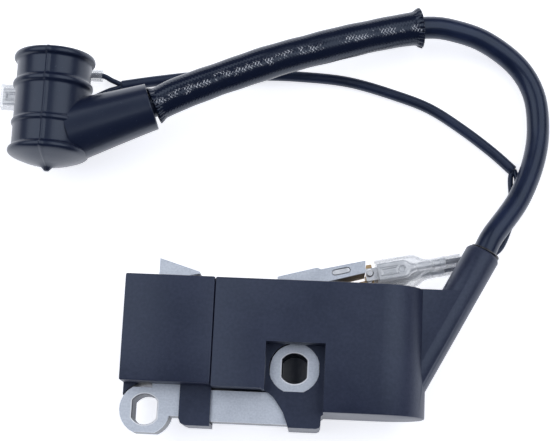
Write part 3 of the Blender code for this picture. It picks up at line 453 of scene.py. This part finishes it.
def past_hole(finish, hole):
    """How far a point is outside a double-D hole: the larger of the distance past a flat and past the arc."""
    parts = finish.node("ShaderNodeSeparateXYZ", None, {"Vector": finish.place()})
    centre = at(*hole, 0.0)
    x, y = parts - centre[0], Value(finish, parts.socket.node.outputs[1]) - centre[1]
    flat = x.maths("ABSOLUTE", x) - 0.5 * HOLE_WIDE * MM
    arc = (x * x + y * y).maths("SQRT", x * x + y * y) - 0.5 * HOLE_TALL * MM
    return flat.maths("MAXIMUM", flat, arc)


def steel_finish(name, banded, shade=1.0):
    """Rolled sheet: fine lines, a speckle and a slow cloud.

    A hole's own wall gets a painted shade, where the distance past it is nothing. A narrow painted highlight
    rings the hole on the front sheet, and a painted shade darkens the sheets between the outer two.
    """
    finish = Finish(name, Metallic=0.92)
    rolled = finish.noise(1.0, 4.0, finish.stretched((140.0, 3200.0, 140.0)))
    scratch = finish.noise(1.0, 2.0, finish.stretched((2600.0, 160.0, 900.0))).ramp(0.60, 0.72)
    cloud = finish.noise(210.0, 4.0)
    speck = finish.noise(2300.0, 3.0)
    tone = (rolled * 0.22 + cloud * 0.28 + speck * 0.5).ramp(0.3, 0.7)
    dull, bright = (tuple(shade * c for c in steel) for steel in ((0.60, 0.64, 0.70), (0.76, 0.80, 0.86)))
    tone = finish.blend(tone, dull, bright)
    rough = 0.36 + cloud * 0.16 - scratch * 0.08
    past = [past_hole(finish, hole) for hole in HOLES]
    past = past[0].maths("MINIMUM", *past)
    # painted highlight: a bright ring round each hole on the front sheet, where its edge catches the light
    if banded:
        band = 1.0 - past.ramp(GLINT_FROM, GLINT_TO)
        tone = finish.blend(band, tone, (0.95, 0.96, 0.98))
        rough = rough + band * 0.15
    # painted shade: the holes' walls are darkened, as little light reaches into them
    tone = finish.blend(1.0 - past.ramp(HOLE_SHADE_FROM, HOLE_SHADE_TO), tone, (0.10, 0.11, 0.14))
    ridges = finish.bump(rolled * 0.7 + scratch * 0.3, 0.14, 0.00004)
    finish.feed(Base_Color=tone, Roughness=rough, Normal=ridges)
    return finish


core_steel = steel_finish("core_steel", False)
front_steel = steel_finish("front_sheet_steel", True)
# the middle sheets' steel, darkened by a painted shade
shaded_stack_steel = steel_finish("painted_shade_sheet_steel", False, STACK_PAINTED_SHADE)

# %% Tinned brass, copper, phenolic board and resin


def tinned_finish():
    finish = Finish("tinned_brass", Metallic=1.0)
    cloud = finish.noise(420.0, 4.0)
    scratch = finish.noise(1.0, 2.0, finish.stretched((300.0, 4200.0, 4200.0))).ramp(0.58, 0.7)
    finish.feed(
        Base_Color=finish.blend(cloud.ramp(0.35, 0.7), (0.80, 0.81, 0.82), (0.97, 0.97, 0.97)),
        Roughness=0.32 + cloud * 0.16 + scratch * 0.05,
        Normal=finish.bump(cloud * 0.6 + scratch * 0.4, 0.12, 0.00004),
    )
    return finish


def phenolic_finish():
    """Paper laminate: tan, with short pale fibres, and brown layers on its cut edges."""
    finish = Finish("phenolic_board", Specular_IOR_Level=0.4)
    fibre = finish.noise(1.0, 4.0, finish.stretched((700.0, 2400.0, 700.0)))
    layer = finish.noise(1.0, 1.0, finish.stretched((60.0, 60.0, 5200.0)))
    tone = (fibre * 0.7 + layer * 0.3).ramp(0.34, 0.66)
    finish.feed(
        Base_Color=finish.blend(tone, (0.45, 0.28, 0.13), (0.68, 0.48, 0.26)),
        Roughness=0.5 + fibre * 0.15,
        Normal=finish.bump(fibre, 0.15, 0.00005),
    )
    return finish


def copper_finish():
    """Enamelled wire seen as a wound surface: fine ridges across the winding."""
    finish = Finish("enamelled_copper", Metallic=1.0, Coat_Weight=0.5)
    inputs = {"Vector": finish.place(), "Scale": 1800.0}
    ridges = finish.node("ShaderNodeTexWave", {"bands_direction": "Y"}, inputs)
    cloud = finish.noise(300.0)
    finish.feed(
        Base_Color=finish.blend(cloud, (0.42, 0.13, 0.05), (0.70, 0.30, 0.12)),
        Roughness=0.28 + cloud * 0.1,
        Normal=finish.bump(ridges, 0.5, 0.00008),
    )
    return finish


def resin_finish(name, roughness):
    finish = Finish(name, Specular_IOR_Level=0.6)
    cloud = finish.noise(160.0, 4.0)
    finish.feed(
        Base_Color=finish.blend(cloud.ramp(0.3, 0.7), (0.008, 0.008, 0.011), (0.020, 0.020, 0.026)),
        Roughness=roughness + cloud * 0.2,
        Normal=finish.bump(finish.noise(70.0, 2.0), 0.25, 0.0004),
    )
    return finish


tinned, phenolic, copper = tinned_finish(), phenolic_finish(), copper_finish()
resin, bead_resin = resin_finish("casting_resin", 0.12), resin_finish("adhesive_bead", 0.05)

# %% [markdown]
# ## Woven braid
# The sleeve on the lead is glass-fibre yarn braided round a rod and varnished black. Two sets of yarns wind
# round it in opposite ways and pass over and under each other. On the tube's own UV, one set runs along u
# plus v and the other along u minus v, and which one is on top changes from crossing to crossing.

# %% Braid finish
BRAID_ROUND, BRAID_RUN = 20.0, 84.0
# where the row of painted glints runs round the sleeve, and how it fades
GLINT_ROW, GLINT_FULL, GLINT_NONE = 0.285, 0.012, 0.045


def braid_finish():
    """Height: a triangle wave across whichever yarn is on top.

    Painted highlights, pale glints on the yarns' crowns, lie in one drifting row along the sleeve, near its top.
    """
    finish = Finish("glass_braid", Specular_IOR_Level=0.6, Specular_Tint=COOL)
    uv = finish.node("ShaderNodeUVMap", {"uv_map": "along"})
    parts = finish.node("ShaderNodeSeparateXYZ", None, {"Vector": uv})
    u, v = parts, Value(finish, parts.socket.node.outputs[1])
    one, two = u * BRAID_ROUND + v * BRAID_RUN, u * BRAID_ROUND - v * BRAID_RUN
    cell = one.maths("FLOOR", one) + two.maths("FLOOR", two)
    turn = cell.maths("PINGPONG", cell, 1.0)
    ridge_one = one.maths("PINGPONG", one, 0.5) * 2.0
    ridge_two = two.maths("PINGPONG", two, 0.5) * 2.0
    height = ridge_one * turn + ridge_two * (1.0 - turn)
    # painted highlight: pale glints on the yarn crowns, broken up by noise, in one row near the sleeve's top
    glint_scatter = finish.noise(700.0, 3.0).ramp(0.44, 0.56)
    patch = finish.noise(130.0, 2.0).ramp(0.38, 0.52)
    drift = (finish.noise(300.0, 2.0) - 0.5) * 0.10
    off_row = u + drift - GLINT_ROW
    row = 1.0 - off_row.maths("ABSOLUTE", off_row).ramp(GLINT_FULL, GLINT_NONE)
    braid_glint = height.ramp(0.45, 0.85) * glint_scatter * patch * row
    finish.feed(
        Base_Color=finish.blend(braid_glint, (0.004, 0.007, 0.022), (0.66, 0.67, 0.70)),
        Roughness=0.22 + braid_glint * 0.3,
        Normal=finish.bump(height, 0.20, 0.00010),
    )
    return finish


braid_black = braid_finish()

# %% [markdown]
# ## Clear vinyl
# The sleeves on the push-on terminals are soft clear tube. Glass shaders make a thin wall go dark and
# noisy, so this is the ordinary shader with a low Alpha: a little milk, and more of it where the wall is
# seen at a grazing angle.

# %% Vinyl finish


def vinyl_finish():
    finish = Finish("clear_vinyl", Roughness=0.12, Specular_IOR_Level=0.7)
    cloud = finish.noise(260.0, 3.0)
    milk = 0.14 + cloud * 0.08
    edge = finish.node("ShaderNodeLayerWeight", None, {"Blend": 0.32}, output="Facing")
    finish.feed(
        Base_Color=finish.blend(cloud, (0.82, 0.84, 0.87), (0.97, 0.98, 0.99)),
        Alpha=milk + edge * 0.42,
        Normal=finish.bump(finish.noise(330.0, 2.0), 0.08, 0.0003),
    )
    return finish


vinyl = vinyl_finish()

# %% [markdown]
# ## Mouldings with eased edges
# A real moulding has no sharp edges. The working model's flat faces are right, so a copy of it is merged
# into one skin, its flat triangles are joined into whole faces, and a Bevel rounds each edge and catches
# the light there.

# %% Eased copies of working parts
FLAT_ANGLE, EDGE_ANGLE = math.radians(0.6), math.radians(32.0)


def eased_copy(node, name, width, finish, segments=3):
    """A merged copy of a node with its edges rounded, shown in the node's place."""
    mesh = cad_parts[node].data.copy()
    mesh.name = name
    merge_doubles(mesh, 2e-6)
    shape = bmesh.new()
    shape.from_mesh(mesh)
    bmesh.ops.dissolve_limit(shape, angle_limit=FLAT_ANGLE, verts=shape.verts, edges=shape.edges)
    shape.to_mesh(mesh)
    shape.free()
    mesh.shade_smooth()
    mesh.set_sharp_from_angle(angle=EDGE_ANGLE)
    piece = bpy.data.objects.new(name, mesh)
    bpy.context.scene.collection.objects.link(piece)
    edge = piece.modifiers.new("eased", "BEVEL")
    edge.width, edge.segments, edge.limit_method = width * MM, segments, "ANGLE"
    edge.angle_limit, edge.harden_normals = EDGE_ANGLE, True
    paint(piece, finish)
    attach(piece, "coil")
    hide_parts(node)
    return piece


main_moulding = eased_copy("coil_housing", "main_moulding", 0.22, moulding)
charge_moulding = eased_copy("charge_housing", "charge_moulding", 0.22, moulding)
# the six middle sheets take the painted shade
STEELS = [core_steel] + [shaded_stack_steel] * 6 + [front_steel]
for number, steel in enumerate(STEELS, start=1):
    sheet = eased_copy(f"lamination_{number}", f"core_sheet_{number}", 0.07, steel, segments=2)
print("moulding faces", len(main_moulding.data.polygons), len(charge_moulding.data.polygons))

# %% [markdown]
# ## The boot
# The plug boot is turned in shape: a body with four rings round it, a dome at the closed end with a small
# tail from the mould, and a thin seam up its front where the mould's halves met. A second shape, the neck,
# leans out of its side and takes the lead.

# %% Boot body


def soft_profile(marks, rounds):
    """Cuts every corner at a quarter and three quarters of its edges, this many times."""
    line = np.asarray(marks, float)
    for _ in range(rounds):
        first, second = 0.75 * line[:-1] + 0.25 * line[1:], 0.25 * line[:-1] + 0.75 * line[1:]
        middle = np.stack([first, second], axis=1).reshape(-1, 2)
        line = np.vstack([line[:1], middle, line[-1:]])
    return line


BOOT_MARKS = [
    (0.0, 50.5), (0.5, 50.5), (0.8, 50.9), (1.5, 51.6), (4.6, 52.3), (7.6, 53.4), (8.6, 53.95), (8.9, 54.5),
    (8.75, 55.2), (8.15, 55.5), (8.1, 56.4), (8.1, 59.6), (8.15, 60.2), (8.5, 60.5), (8.5, 61.2), (8.15, 61.5),
    (8.1, 62.2), (8.1, 68.0), (8.2, 68.7), (8.75, 69.1), (8.75, 70.0), (8.2, 70.4), (8.1, 71.2), (8.1, 74.2),
    (8.25, 74.8), (8.85, 75.1), (8.93, 75.9), (8.5, 76.6), (7.4, 76.65), (6.6, 76.4), (5.9, 75.9), (5.6, 75.0),
    (5.6, 56.6), (5.2, 56.0), (0.0, 56.0),
]
OUTSIDE_SHARE, RIM_TOP = 0.78, 76.6
SEAM_HIGH, SEAM_HALF = 0.32, 0.045


def boot_body():
    """The profile's radius and height, turned round Y; a seam adds a thin ridge at the front and the back."""
    profile = soft_profile(BOOT_MARKS, 3)
    turn = np.linspace(0.0, math.tau, 240, endpoint=False) + math.tau / 4
    outside = (np.arange(len(profile)) < len(profile) * OUTSIDE_SHARE) & (profile[:, 1] < RIM_TOP)
    lean = (turn - math.tau / 4 + math.pi) % math.tau - math.pi
    behind = np.abs(lean) - math.pi
    seam = SEAM_HIGH * (np.exp(-((lean / SEAM_HALF) ** 4)) + np.exp(-((behind / SEAM_HALF) ** 4)))
    ridge = seam[None, :] * (outside & (profile[:, 0] > 0.5))[:, None]
    radius = profile[:, 0][:, None] + ridge
    x = BOOT_CROSS[0] + radius * np.cos(turn)
    z = BOOT_CROSS[2] + radius * np.sin(turn)
    y = np.broadcast_to(profile[:, 1][:, None], x.shape)
    return grid_piece("boot_body", at(np.stack([x, y, z], axis=-1)), flip=True)


boot_piece = paint(boot_body(), boot_rubber)

# %% Boot neck


def boot_neck():
    """Rings along the neck's axis: it tapers from inside the body to a square-cut end and turns into the bore."""
    outer = [(6.95, 4.6), (6.7, 7.0), (6.55, 8.5), (6.3, 11.0), (5.85, 15.5), (5.45, 20.0)]
    outer += [(5.22, 22.9), (5.2, 23.4)]
    bore = [(5.05, 23.5), (3.3, 23.5), (2.97, 23.2), (2.95, 22.0), (2.95, 9.0)]
    profile = soft_profile(outer + bore, 2)
    turn = np.linspace(0.0, math.tau, 96, endpoint=False)
    level, over = np.cross(NECK_WAY, [0, 0, 1]), np.array([0.0, 0.0, 1.0])
    ring = np.cos(turn)[None, :, None] * level + np.sin(turn)[None, :, None] * over
    points = BOOT_CROSS + profile[:, 1][:, None, None] * NECK_WAY + profile[:, 0][:, None, None] * ring
    return grid_piece("boot_neck", at(points))


neck_piece = paint(boot_neck(), boot_rubber)
for piece in (boot_piece, neck_piece):
    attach(piece, "boot")
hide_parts("boot")

# %% [markdown]
# ## The braided sleeve
# The sleeve lies on the lead's own line, from the boot's neck to just past the bend. Its cut ends have
# opened out a little and frayed, so the radius grows there and wobbles from yarn to yarn.

# %% Sleeve on the lead
BRAID_RADIUS, BRAID_WALL = 3.25, 0.42
SLEEVE_START, NECK_GAP, PAST_BEND = 56.06, 0.15, 60.0


def part_of_line(line, start_x, end_x):
    """The stretch of a line between two places across the drawing, on the boot's side of the bend."""
    x = (line[:, 0] - DATUM[0]) / MM
    y = (line[:, 1] - DATUM[1]) / MM
    return line[(x < start_x) & (x > end_x) & (y > PAST_BEND)]


def braid_sleeve():
    """A tube on the lead's line: a bell curve widens each cut end, and two sines round it fray it there."""
    fine = smooth_line(lead_line, 0.2 * MM)
    line = part_of_line(fine, SLEEVE_START, BOOT_CROSS[0] + (NECK_LONG + NECK_GAP) * NECK_WAY[0])
    line = smooth_line(line[::2], 0.35 * MM)
    sides = 132
    run = np.linspace(0.0, line_length(line) / MM, len(line))[:, None]
    turn = np.linspace(0.0, math.tau, sides, endpoint=False)[None, :]
    far = run[-1, 0] - run
    fray = 0.16 * np.sin(23 * turn + 2.0 * np.sin(3 * turn)) + 0.10 * np.sin(41 * turn + 1.0)
    left = np.exp(-((far / 0.9) ** 2))
    right = np.exp(-((run / 1.0) ** 2))
    slack = 0.05 * np.sin(0.35 * run + 1.0) + 0.03 * np.sin(0.9 * run)
    radius = BRAID_RADIUS + slack + left * (0.35 + 1.2 * fray) + right * (0.72 + 0.9 * fray)
    piece = grid_piece("braided_sleeve", tube_grid(line, radius * MM, sides), uv=tube_uv(len(line), sides))
    wall = piece.modifiers.new("wall", "SOLIDIFY")
    wall.thickness, wall.offset = BRAID_WALL * MM, -1.0
    return piece


sleeve_piece = paint(braid_sleeve(), braid_black)
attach(sleeve_piece, "coil")
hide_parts("abrasion_sleeve")

# %% Lead and harness finishes
paint(lead, lead_jacket)
paint(harness, wire_jacket)
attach(lead, "coil")
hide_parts("ht_lead")
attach(harness, "coil")
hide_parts("harness_tube")

# %% [markdown]
# ## The bead at the tower's mouth
# Adhesive was squeezed in round the lead and stands out of the mouth as a glossy uneven ring. A ring's
# section is an ellipse here, and its size wanders slowly round the lead.

# %% Adhesive bead


def seal_bead():
    """An ellipse carried round the tower's axis, with a slow wobble in its size."""
    turn = np.linspace(0.0, math.tau, 96, endpoint=False)
    section = np.linspace(0.0, math.tau, 20, endpoint=False)
    wobble = 0.75 + 0.45 * np.cos(turn) + 0.10 * np.sin(5 * turn)
    reach = 2.95 + 0.42 * wobble[:, None] * np.cos(section)[None, :]
    lift = 0.12 + 0.36 * wobble[:, None] * np.sin(section)[None, :]
    side, over = np.cross(TOWER_WAY, [0, 0, 1]), np.array([0.0, 0.0, 1.0])
    ring = np.cos(turn)[:, None, None] * side + np.sin(turn)[:, None, None] * over
    points = TOWER_MOUTH + lift[..., None] * TOWER_WAY + reach[..., None] * ring
    rows = np.concatenate([points, points[:1]])
    return grid_piece("adhesive_bead", at(rows), flip=True)


bead = paint(seal_bead(), bead_resin)
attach(bead, "coil")
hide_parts("lead_seal")

# %% [markdown]
# ## Push-on terminals
# A push-on receptacle is one strip of tinned brass, and here it lies floor up. Its two edges are rolled
# over to grip the tab, a dimple in the floor snaps into the tab's hole, and behind it two barrels are
# crimped on the wire and on its insulation. The strip is a section carried along, whose rolls close up into
# the barrels.

# %% Receptacle
PLUG_ANGLE = math.radians(11.9)
BRASS_THICK, VINYL_THICK = 0.24, 0.26
STRIP_START, STRIP_END, BOX_END = 0.4, 15.3, 7.3
PLUG_WAY = np.array([math.cos(PLUG_ANGLE), math.sin(PLUG_ANGLE), 0.0])
KILL_MOUTH, GROUND_MOUTH = np.array([47.8, 32.15, 5.7]), np.array([47.8, 31.05, 1.9])
FAR_KILL, FAR_GROUND = np.array([-38.6, 70.2, 1.9]), np.array([-34.6, 76.1, 1.9])
X_WAY = np.array([1.0, 0.0, 0.0])


def receptacle_section(share, long):
    """Across and up, in mm, at a share from edge to edge (-1 to 1) of the strip and a distance along it.

    Floor, side and roll are one curve: it turns by a right angle at each side and goes on round the roll. Behind
    the box the width shrinks, and the curve closes into a barrel round the wire.
    """
    box = 1.0 / (1.0 + np.exp((long - BOX_END) / 0.35))
    turn = np.sign(share) * np.clip((np.abs(share) - 0.42) / 0.58, 0, 1) * 4.55
    flat = np.clip(np.abs(share), 0, 0.42) / 0.42 * np.sign(share)
    roll = 0.50
    across_box = flat * 1.42 + np.sin(np.abs(turn)) * roll * np.sign(share)
    up_box = -0.92 + roll * (1 - np.cos(turn))
    barrel = 0.88 + 0.10 * (long > 12.6)
    wrap = share * 2.75
    across_tail, up_tail = barrel * np.sin(wrap), -barrel * np.cos(wrap)
    return across_box * box + across_tail * (1 - box), up_box * box + up_tail * (1 - box)


def step(distance, soft):
    """A smooth step from 0 to 1 as the distance passes 0."""
    return 1.0 / (1.0 + np.exp(-distance / soft))


def receptacle(name, mouth, way):
    """The strip's surface over a grid of shares and distances, turned floor up.

    Smooth steps press a rectangle, a groove each side of it and a six-sided dimple into the floor.
    """
    long = np.linspace(STRIP_START, STRIP_END, 150)[:, None]
    share = np.linspace(-1.0, 1.0, 81)[None, :]
    across, up = receptacle_section(share + 0 * long, long + 0 * share)
    wide = 3.38 * np.abs(share)
    six = np.maximum(0.866 * np.abs(long - 5.7) + 0.5 * wide, wide)
    panel = step(0.55 - wide, 0.03) * step(long - 1.3, 0.06) * step(4.5 - long, 0.06)
    groove = np.exp(-(((wide - 0.86) / 0.08) ** 2)) * step(long - 0.9, 0.06) * step(4.9 - long, 0.06)
    up = -(up + 0.17 * panel + 0.24 * groove + 0.36 * step(0.66 - six, 0.05))
    notch = np.exp(-(((long - 12.2) / 0.28) ** 2)) + np.exp(-(((long - 8.9) / 0.30) ** 2))
    squeeze = 1.0 - 0.18 * notch * (long > 8.0)
    side = np.cross([0, 0, 1], way)
    points = mouth + long[..., None] * way + (across * squeeze)[..., None] * side
    points = points + (up * squeeze)[..., None] * np.array([0, 0, 1.0])
    piece = grid_piece(name, at(points), wrap=False, flip=True)
    wall = piece.modifiers.new("sheet", "SOLIDIFY")
    wall.thickness, wall.offset = BRASS_THICK * MM, 0.0
    return piece


# %% Clear sleeve
# distance along, half height, half width and squareness
SLEEVE_MARKS = [
    (0.0, 1.8, 2.85, 5.0), (7.6, 1.8, 2.85, 5.0), (8.3, 1.78, 2.80, 4.6), (9.2, 1.68, 2.45, 3.6),
    (10.3, 1.5, 1.75, 2.6), (11.2, 1.4, 1.45, 2.1), (12.4, 1.4, 1.4, 2.0), (18.7, 1.4, 1.4, 2.0),
]


def clear_sleeve(name, mouth, way):
    """A flat oval that closes into a round tail: a superellipse whose sizes and squareness change on the way."""
    marks = np.array(SLEEVE_MARKS)
    long = np.linspace(0.0, marks[-1, 0], 110)
    up, across, power = (np.interp(long, marks[:, 0], marks[:, k])[:, None] for k in (1, 2, 3))
    turn = np.linspace(0.0, math.tau, 72, endpoint=False)[None, :]
    a = across * np.sign(np.cos(turn)) * np.abs(np.cos(turn)) ** (2 / power)
    b = up * np.sign(np.sin(turn)) * np.abs(np.sin(turn)) ** (2 / power)
    first = 0.05 * np.exp(-(((long[:, None] - 13.4) / 0.7) ** 2))
    second = 0.04 * np.exp(-(((long[:, None] - 16.4) / 0.6) ** 2))
    dent = 1.0 - first - second
    side = np.cross([0, 0, 1], way)
    points = mouth + long[:, None, None] * way + (a * dent)[..., None] * side
    points = points + (b * dent)[..., None] * np.array([0, 0, 1.0])
    piece = grid_piece(name, at(points))
    wall = piece.modifiers.new("wall", "SOLIDIFY")
    wall.thickness, wall.offset = VINYL_THICK * MM, -1.0
    return piece


PLUGS = (
    ("kill", KILL_MOUTH, PLUG_WAY, "kill_terminal", "kill_sleeve", ""),
    ("ground", GROUND_MOUTH, PLUG_WAY, "ground_terminal", "ground_sleeve", ""),
    ("kill", FAR_KILL, X_WAY, "coil", "coil", "far_"),
    ("ground", FAR_GROUND, X_WAY, "coil", "coil", "far_"),
)
far_pieces = []
for key, mouth, way, clip_body, sleeve_body, prefix in PLUGS:
    clip = paint(receptacle(f"{prefix}receptacle_{key}", mouth, way), tinned)
    cover = paint(clear_sleeve(f"{prefix}cover_{key}", mouth, way), vinyl)
    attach(clip, clip_body)
    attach(cover, sleeve_body)
    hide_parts(f"{prefix}terminal_{key}")
    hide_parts(f"{prefix}sleeve_{key}")
    if prefix:
        far_pieces += [clip, cover]
print("plugs", len(PLUGS))

# %% [markdown]
# ## Thin wires
# Two thin wires run from the near terminals under the lead to the harness tube, and come out of its far end
# to the second pair.

# %% Wires
WIRE_RADIUS, CRIMP_END = 0.6, 15.4


def near_wire_line(mouth, apart, drop):
    """From inside the near crimp along the plug's way, down to the table and into the harness tube."""
    end = np.array([*HARNESS[0], HARNESS_LEVEL]) + [0.1, -0.1, 0.0]
    route = [mouth + PLUG_WAY * s for s in (CRIMP_END - 1.5, 19.0, 21.2, 22.8)]
    route += [(73.6 + apart, 39.0 - apart, 1.3 + 3.2 * drop), (76.6 + apart, 44.6, 1.3 + 1.4 * drop)]
    route += [(78.1 + apart, 50.0, 1.3 + 0.3 * drop), end + [0.65 * np.sign(apart), -1.3, 0.0]]
    route += [end + [0.1 * apart, 0.4, 0.0]]
    return at(smooth_line(route, 0.7))


def far_wire_line(mouth, apart):
    """From inside the far crimp straight on, and then into the harness tube's end."""
    end = np.array([*HARNESS[-1], HARNESS_LEVEL])
    route = [mouth + [CRIMP_END - 1.5, 0, 0], mouth + [18.9, 0, -0.1]]
    route += [(end[0] - 2.4, end[1] + 1.7 * apart, 1.5), end + [-1.1, apart, 0.0], end + [0.2, 0.3 * apart, 0.0]]
    return at(smooth_line(route, 0.4))


for key, mouth, apart, drop in (("kill", KILL_MOUTH, 0.65, 1.0), ("ground", GROUND_MOUTH, -0.65, 0.35)):
    line = near_wire_line(mouth, apart, drop)
    wire = paint(closed_tube(f"near_wire_{key}", line, WIRE_RADIUS * MM, 20), wire_jacket)
    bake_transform(wire)
    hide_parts(f"wire_{key}")
for key, mouth, apart in (("kill", FAR_KILL, -0.7), ("ground", FAR_GROUND, 0.7)):
    line = far_wire_line(mouth, apart)
    wire = paint(closed_tube(f"far_lead_{key}", line, WIRE_RADIUS * MM, 16), wire_jacket)
    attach(wire, "coil")
    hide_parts(f"far_wire_{key}")
    far_pieces.append(wire)

# %% [markdown]
# ## Board, tabs and hidden parts
# The working model's shapes are right for the flat stamped parts, so they only get eased edges and a
# finish. The parts inside are never seen, and keep their working shape with a fitting finish.

# %% Board, tabs, rivets and pins
board = eased_copy("terminal_board", "phenolic_plate", 0.06, phenolic, segments=2)
for key in ("kill", "ground"):
    blade = eased_copy(f"tab_{key}", f"blade_{key}", 0.08, tinned, segments=2)
    head = eased_copy(f"tab_rivet_{key}", f"blade_rivet_{key}", 0.08, tinned, segments=2)
for node in ("core_interlock_pole", "core_interlock_leg"):
    pin = eased_copy(node, node + "_peg", 0.12, tinned, segments=3)

# %% Finishes of the working parts that stay
STAYING = {
    copper: ("charge_winding", "primary_winding", "secondary_winding", "trigger_winding"),
    resin: ("charge_potting", "main_potting", "thyristor", "diode_1", "diode_2", "capacitor", "resistor"),
    phenolic: ("circuit_board", "charge_bobbin", "primary_bobbin", "secondary_bobbin"),
    core_steel: ("ht_core_rod",),
    tinned: ("ht_contact_pin", "boot_contact_spring"),
}
for finish, names in STAYING.items():
    for node in names:
        paint(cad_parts[node], finish)

# %% [markdown]
# ## What is a cord
# The lead and the harness tube are free cords of real length.

# %% [markdown]
# ## Table and light
# The part lies on a white light table under two wide soft boxes, one on each side, with a narrow gap
# between them for the lens. Black plastic and rubber show little but what they reflect: the two boxes give
# the lead its pair of long bands, and the dark room beyond the boxes gives the deep blue-black beside them.
# The table glows a little, so it is white while the part stays dark, and a painted shadow takes the glow away
# under the part's foot.

# %% Light table
# the box of the painted shadow under the housings, in drawing mm: x from, x to, y from, y to
FOOT = (14.5, 57.0, 1.0, 27.0)
FOOT_SOFT, TABLE_GLOW = 0.003, 0.70
TABLE_REACH, TABLE_DROP = 3.0, 2e-5


def table_finish():
    """White, with a glow that a painted shadow fades to nothing under the housings: the product of two smooth
    steps an axis.
    """
    finish = Finish("light_table", Roughness=0.7, Emission_Strength=1.0)
    finish.shader.inputs["Base Color"].default_value = (0.90, 0.91, 0.93, 1.0)
    parts = finish.node("ShaderNodeSeparateXYZ", None, {"Vector": finish.place()})
    x, y = parts, Value(finish, parts.socket.node.outputs[1])
    low, high = at(FOOT[0], FOOT[2], 0.0), at(FOOT[1], FOOT[3], 0.0)
    # painted shadow: the glow falls to nothing in a box under the housings
    inside = x.ramp(low[0], low[0] + FOOT_SOFT) * (1.0 - x.ramp(high[0] - FOOT_SOFT, high[0]))
    inside = inside * y.ramp(low[1], low[1] + FOOT_SOFT) * (1.0 - y.ramp(high[1] - FOOT_SOFT, high[1]))
    glow = (TABLE_GLOW, TABLE_GLOW, TABLE_GLOW * 1.02)
    return finish.feed(Emission_Color=finish.blend(inside, glow, (0.0, 0.0, 0.0)))


floor_mesh = bpy.data.meshes.new("table")
corners = [(TABLE_REACH * x, TABLE_REACH * y, -TABLE_DROP) for x, y in ((-1, -1), (1, -1), (1, 1), (-1, 1))]
floor_mesh.from_pydata(corners, [], [(0, 1, 2, 3)])
table = bpy.data.objects.new("table", floor_mesh)
bpy.context.scene.collection.objects.link(table)
paint(table, table_finish())

# %% Soft boxes
BOX_AWAY, BOX_ACROSS, BOX_HIGH = 0.80, 0.35, 0.75
BOX_SIZE, BOX_RADIANCE, BOX_COLOUR = (1.32, 1.2), 1.35, (0.96, 0.98, 1.0)
ROOM_COLOUR, ROOM_STRENGTH = (0.55, 0.66, 1.0, 1.0), 0.16


def soft_box(name, spot, aim, size, radiance, colour):
    """A rectangular lamp at a spot, facing a point; power is radiance times area times pi."""
    data = bpy.data.lights.new(name, "AREA")
    data.shape, data.size, data.size_y, data.color = "RECTANGLE", size[0], size[1], colour
    data.energy = radiance * size[0] * size[1] * math.pi
    thing = bpy.data.objects.new(name, data)
    bpy.context.scene.collection.objects.link(thing)
    thing.rotation_euler = (Vector(aim) - Vector(spot)).to_track_quat("-Z", "Y").to_euler()
    thing.location = spot
    return thing


middle = Vector(at(25.0, 42.0, 10.0))
for side, name in ((-1, "left_box"), (1, "right_box")):
    spot = middle + Vector((side * BOX_AWAY, BOX_ACROSS, BOX_HIGH))
    soft_box(name, spot, spot - Vector((0, 0, 1)), BOX_SIZE, BOX_RADIANCE, BOX_COLOUR)
world = bpy.data.worlds.new("studio")
bpy.context.scene.world = world
world.use_nodes = True
world.node_tree.nodes["Background"].inputs["Color"].default_value = ROOM_COLOUR
world.node_tree.nodes["Background"].inputs["Strength"].default_value = ROOM_STRENGTH
bpy.context.scene.view_settings.view_transform = "Standard"
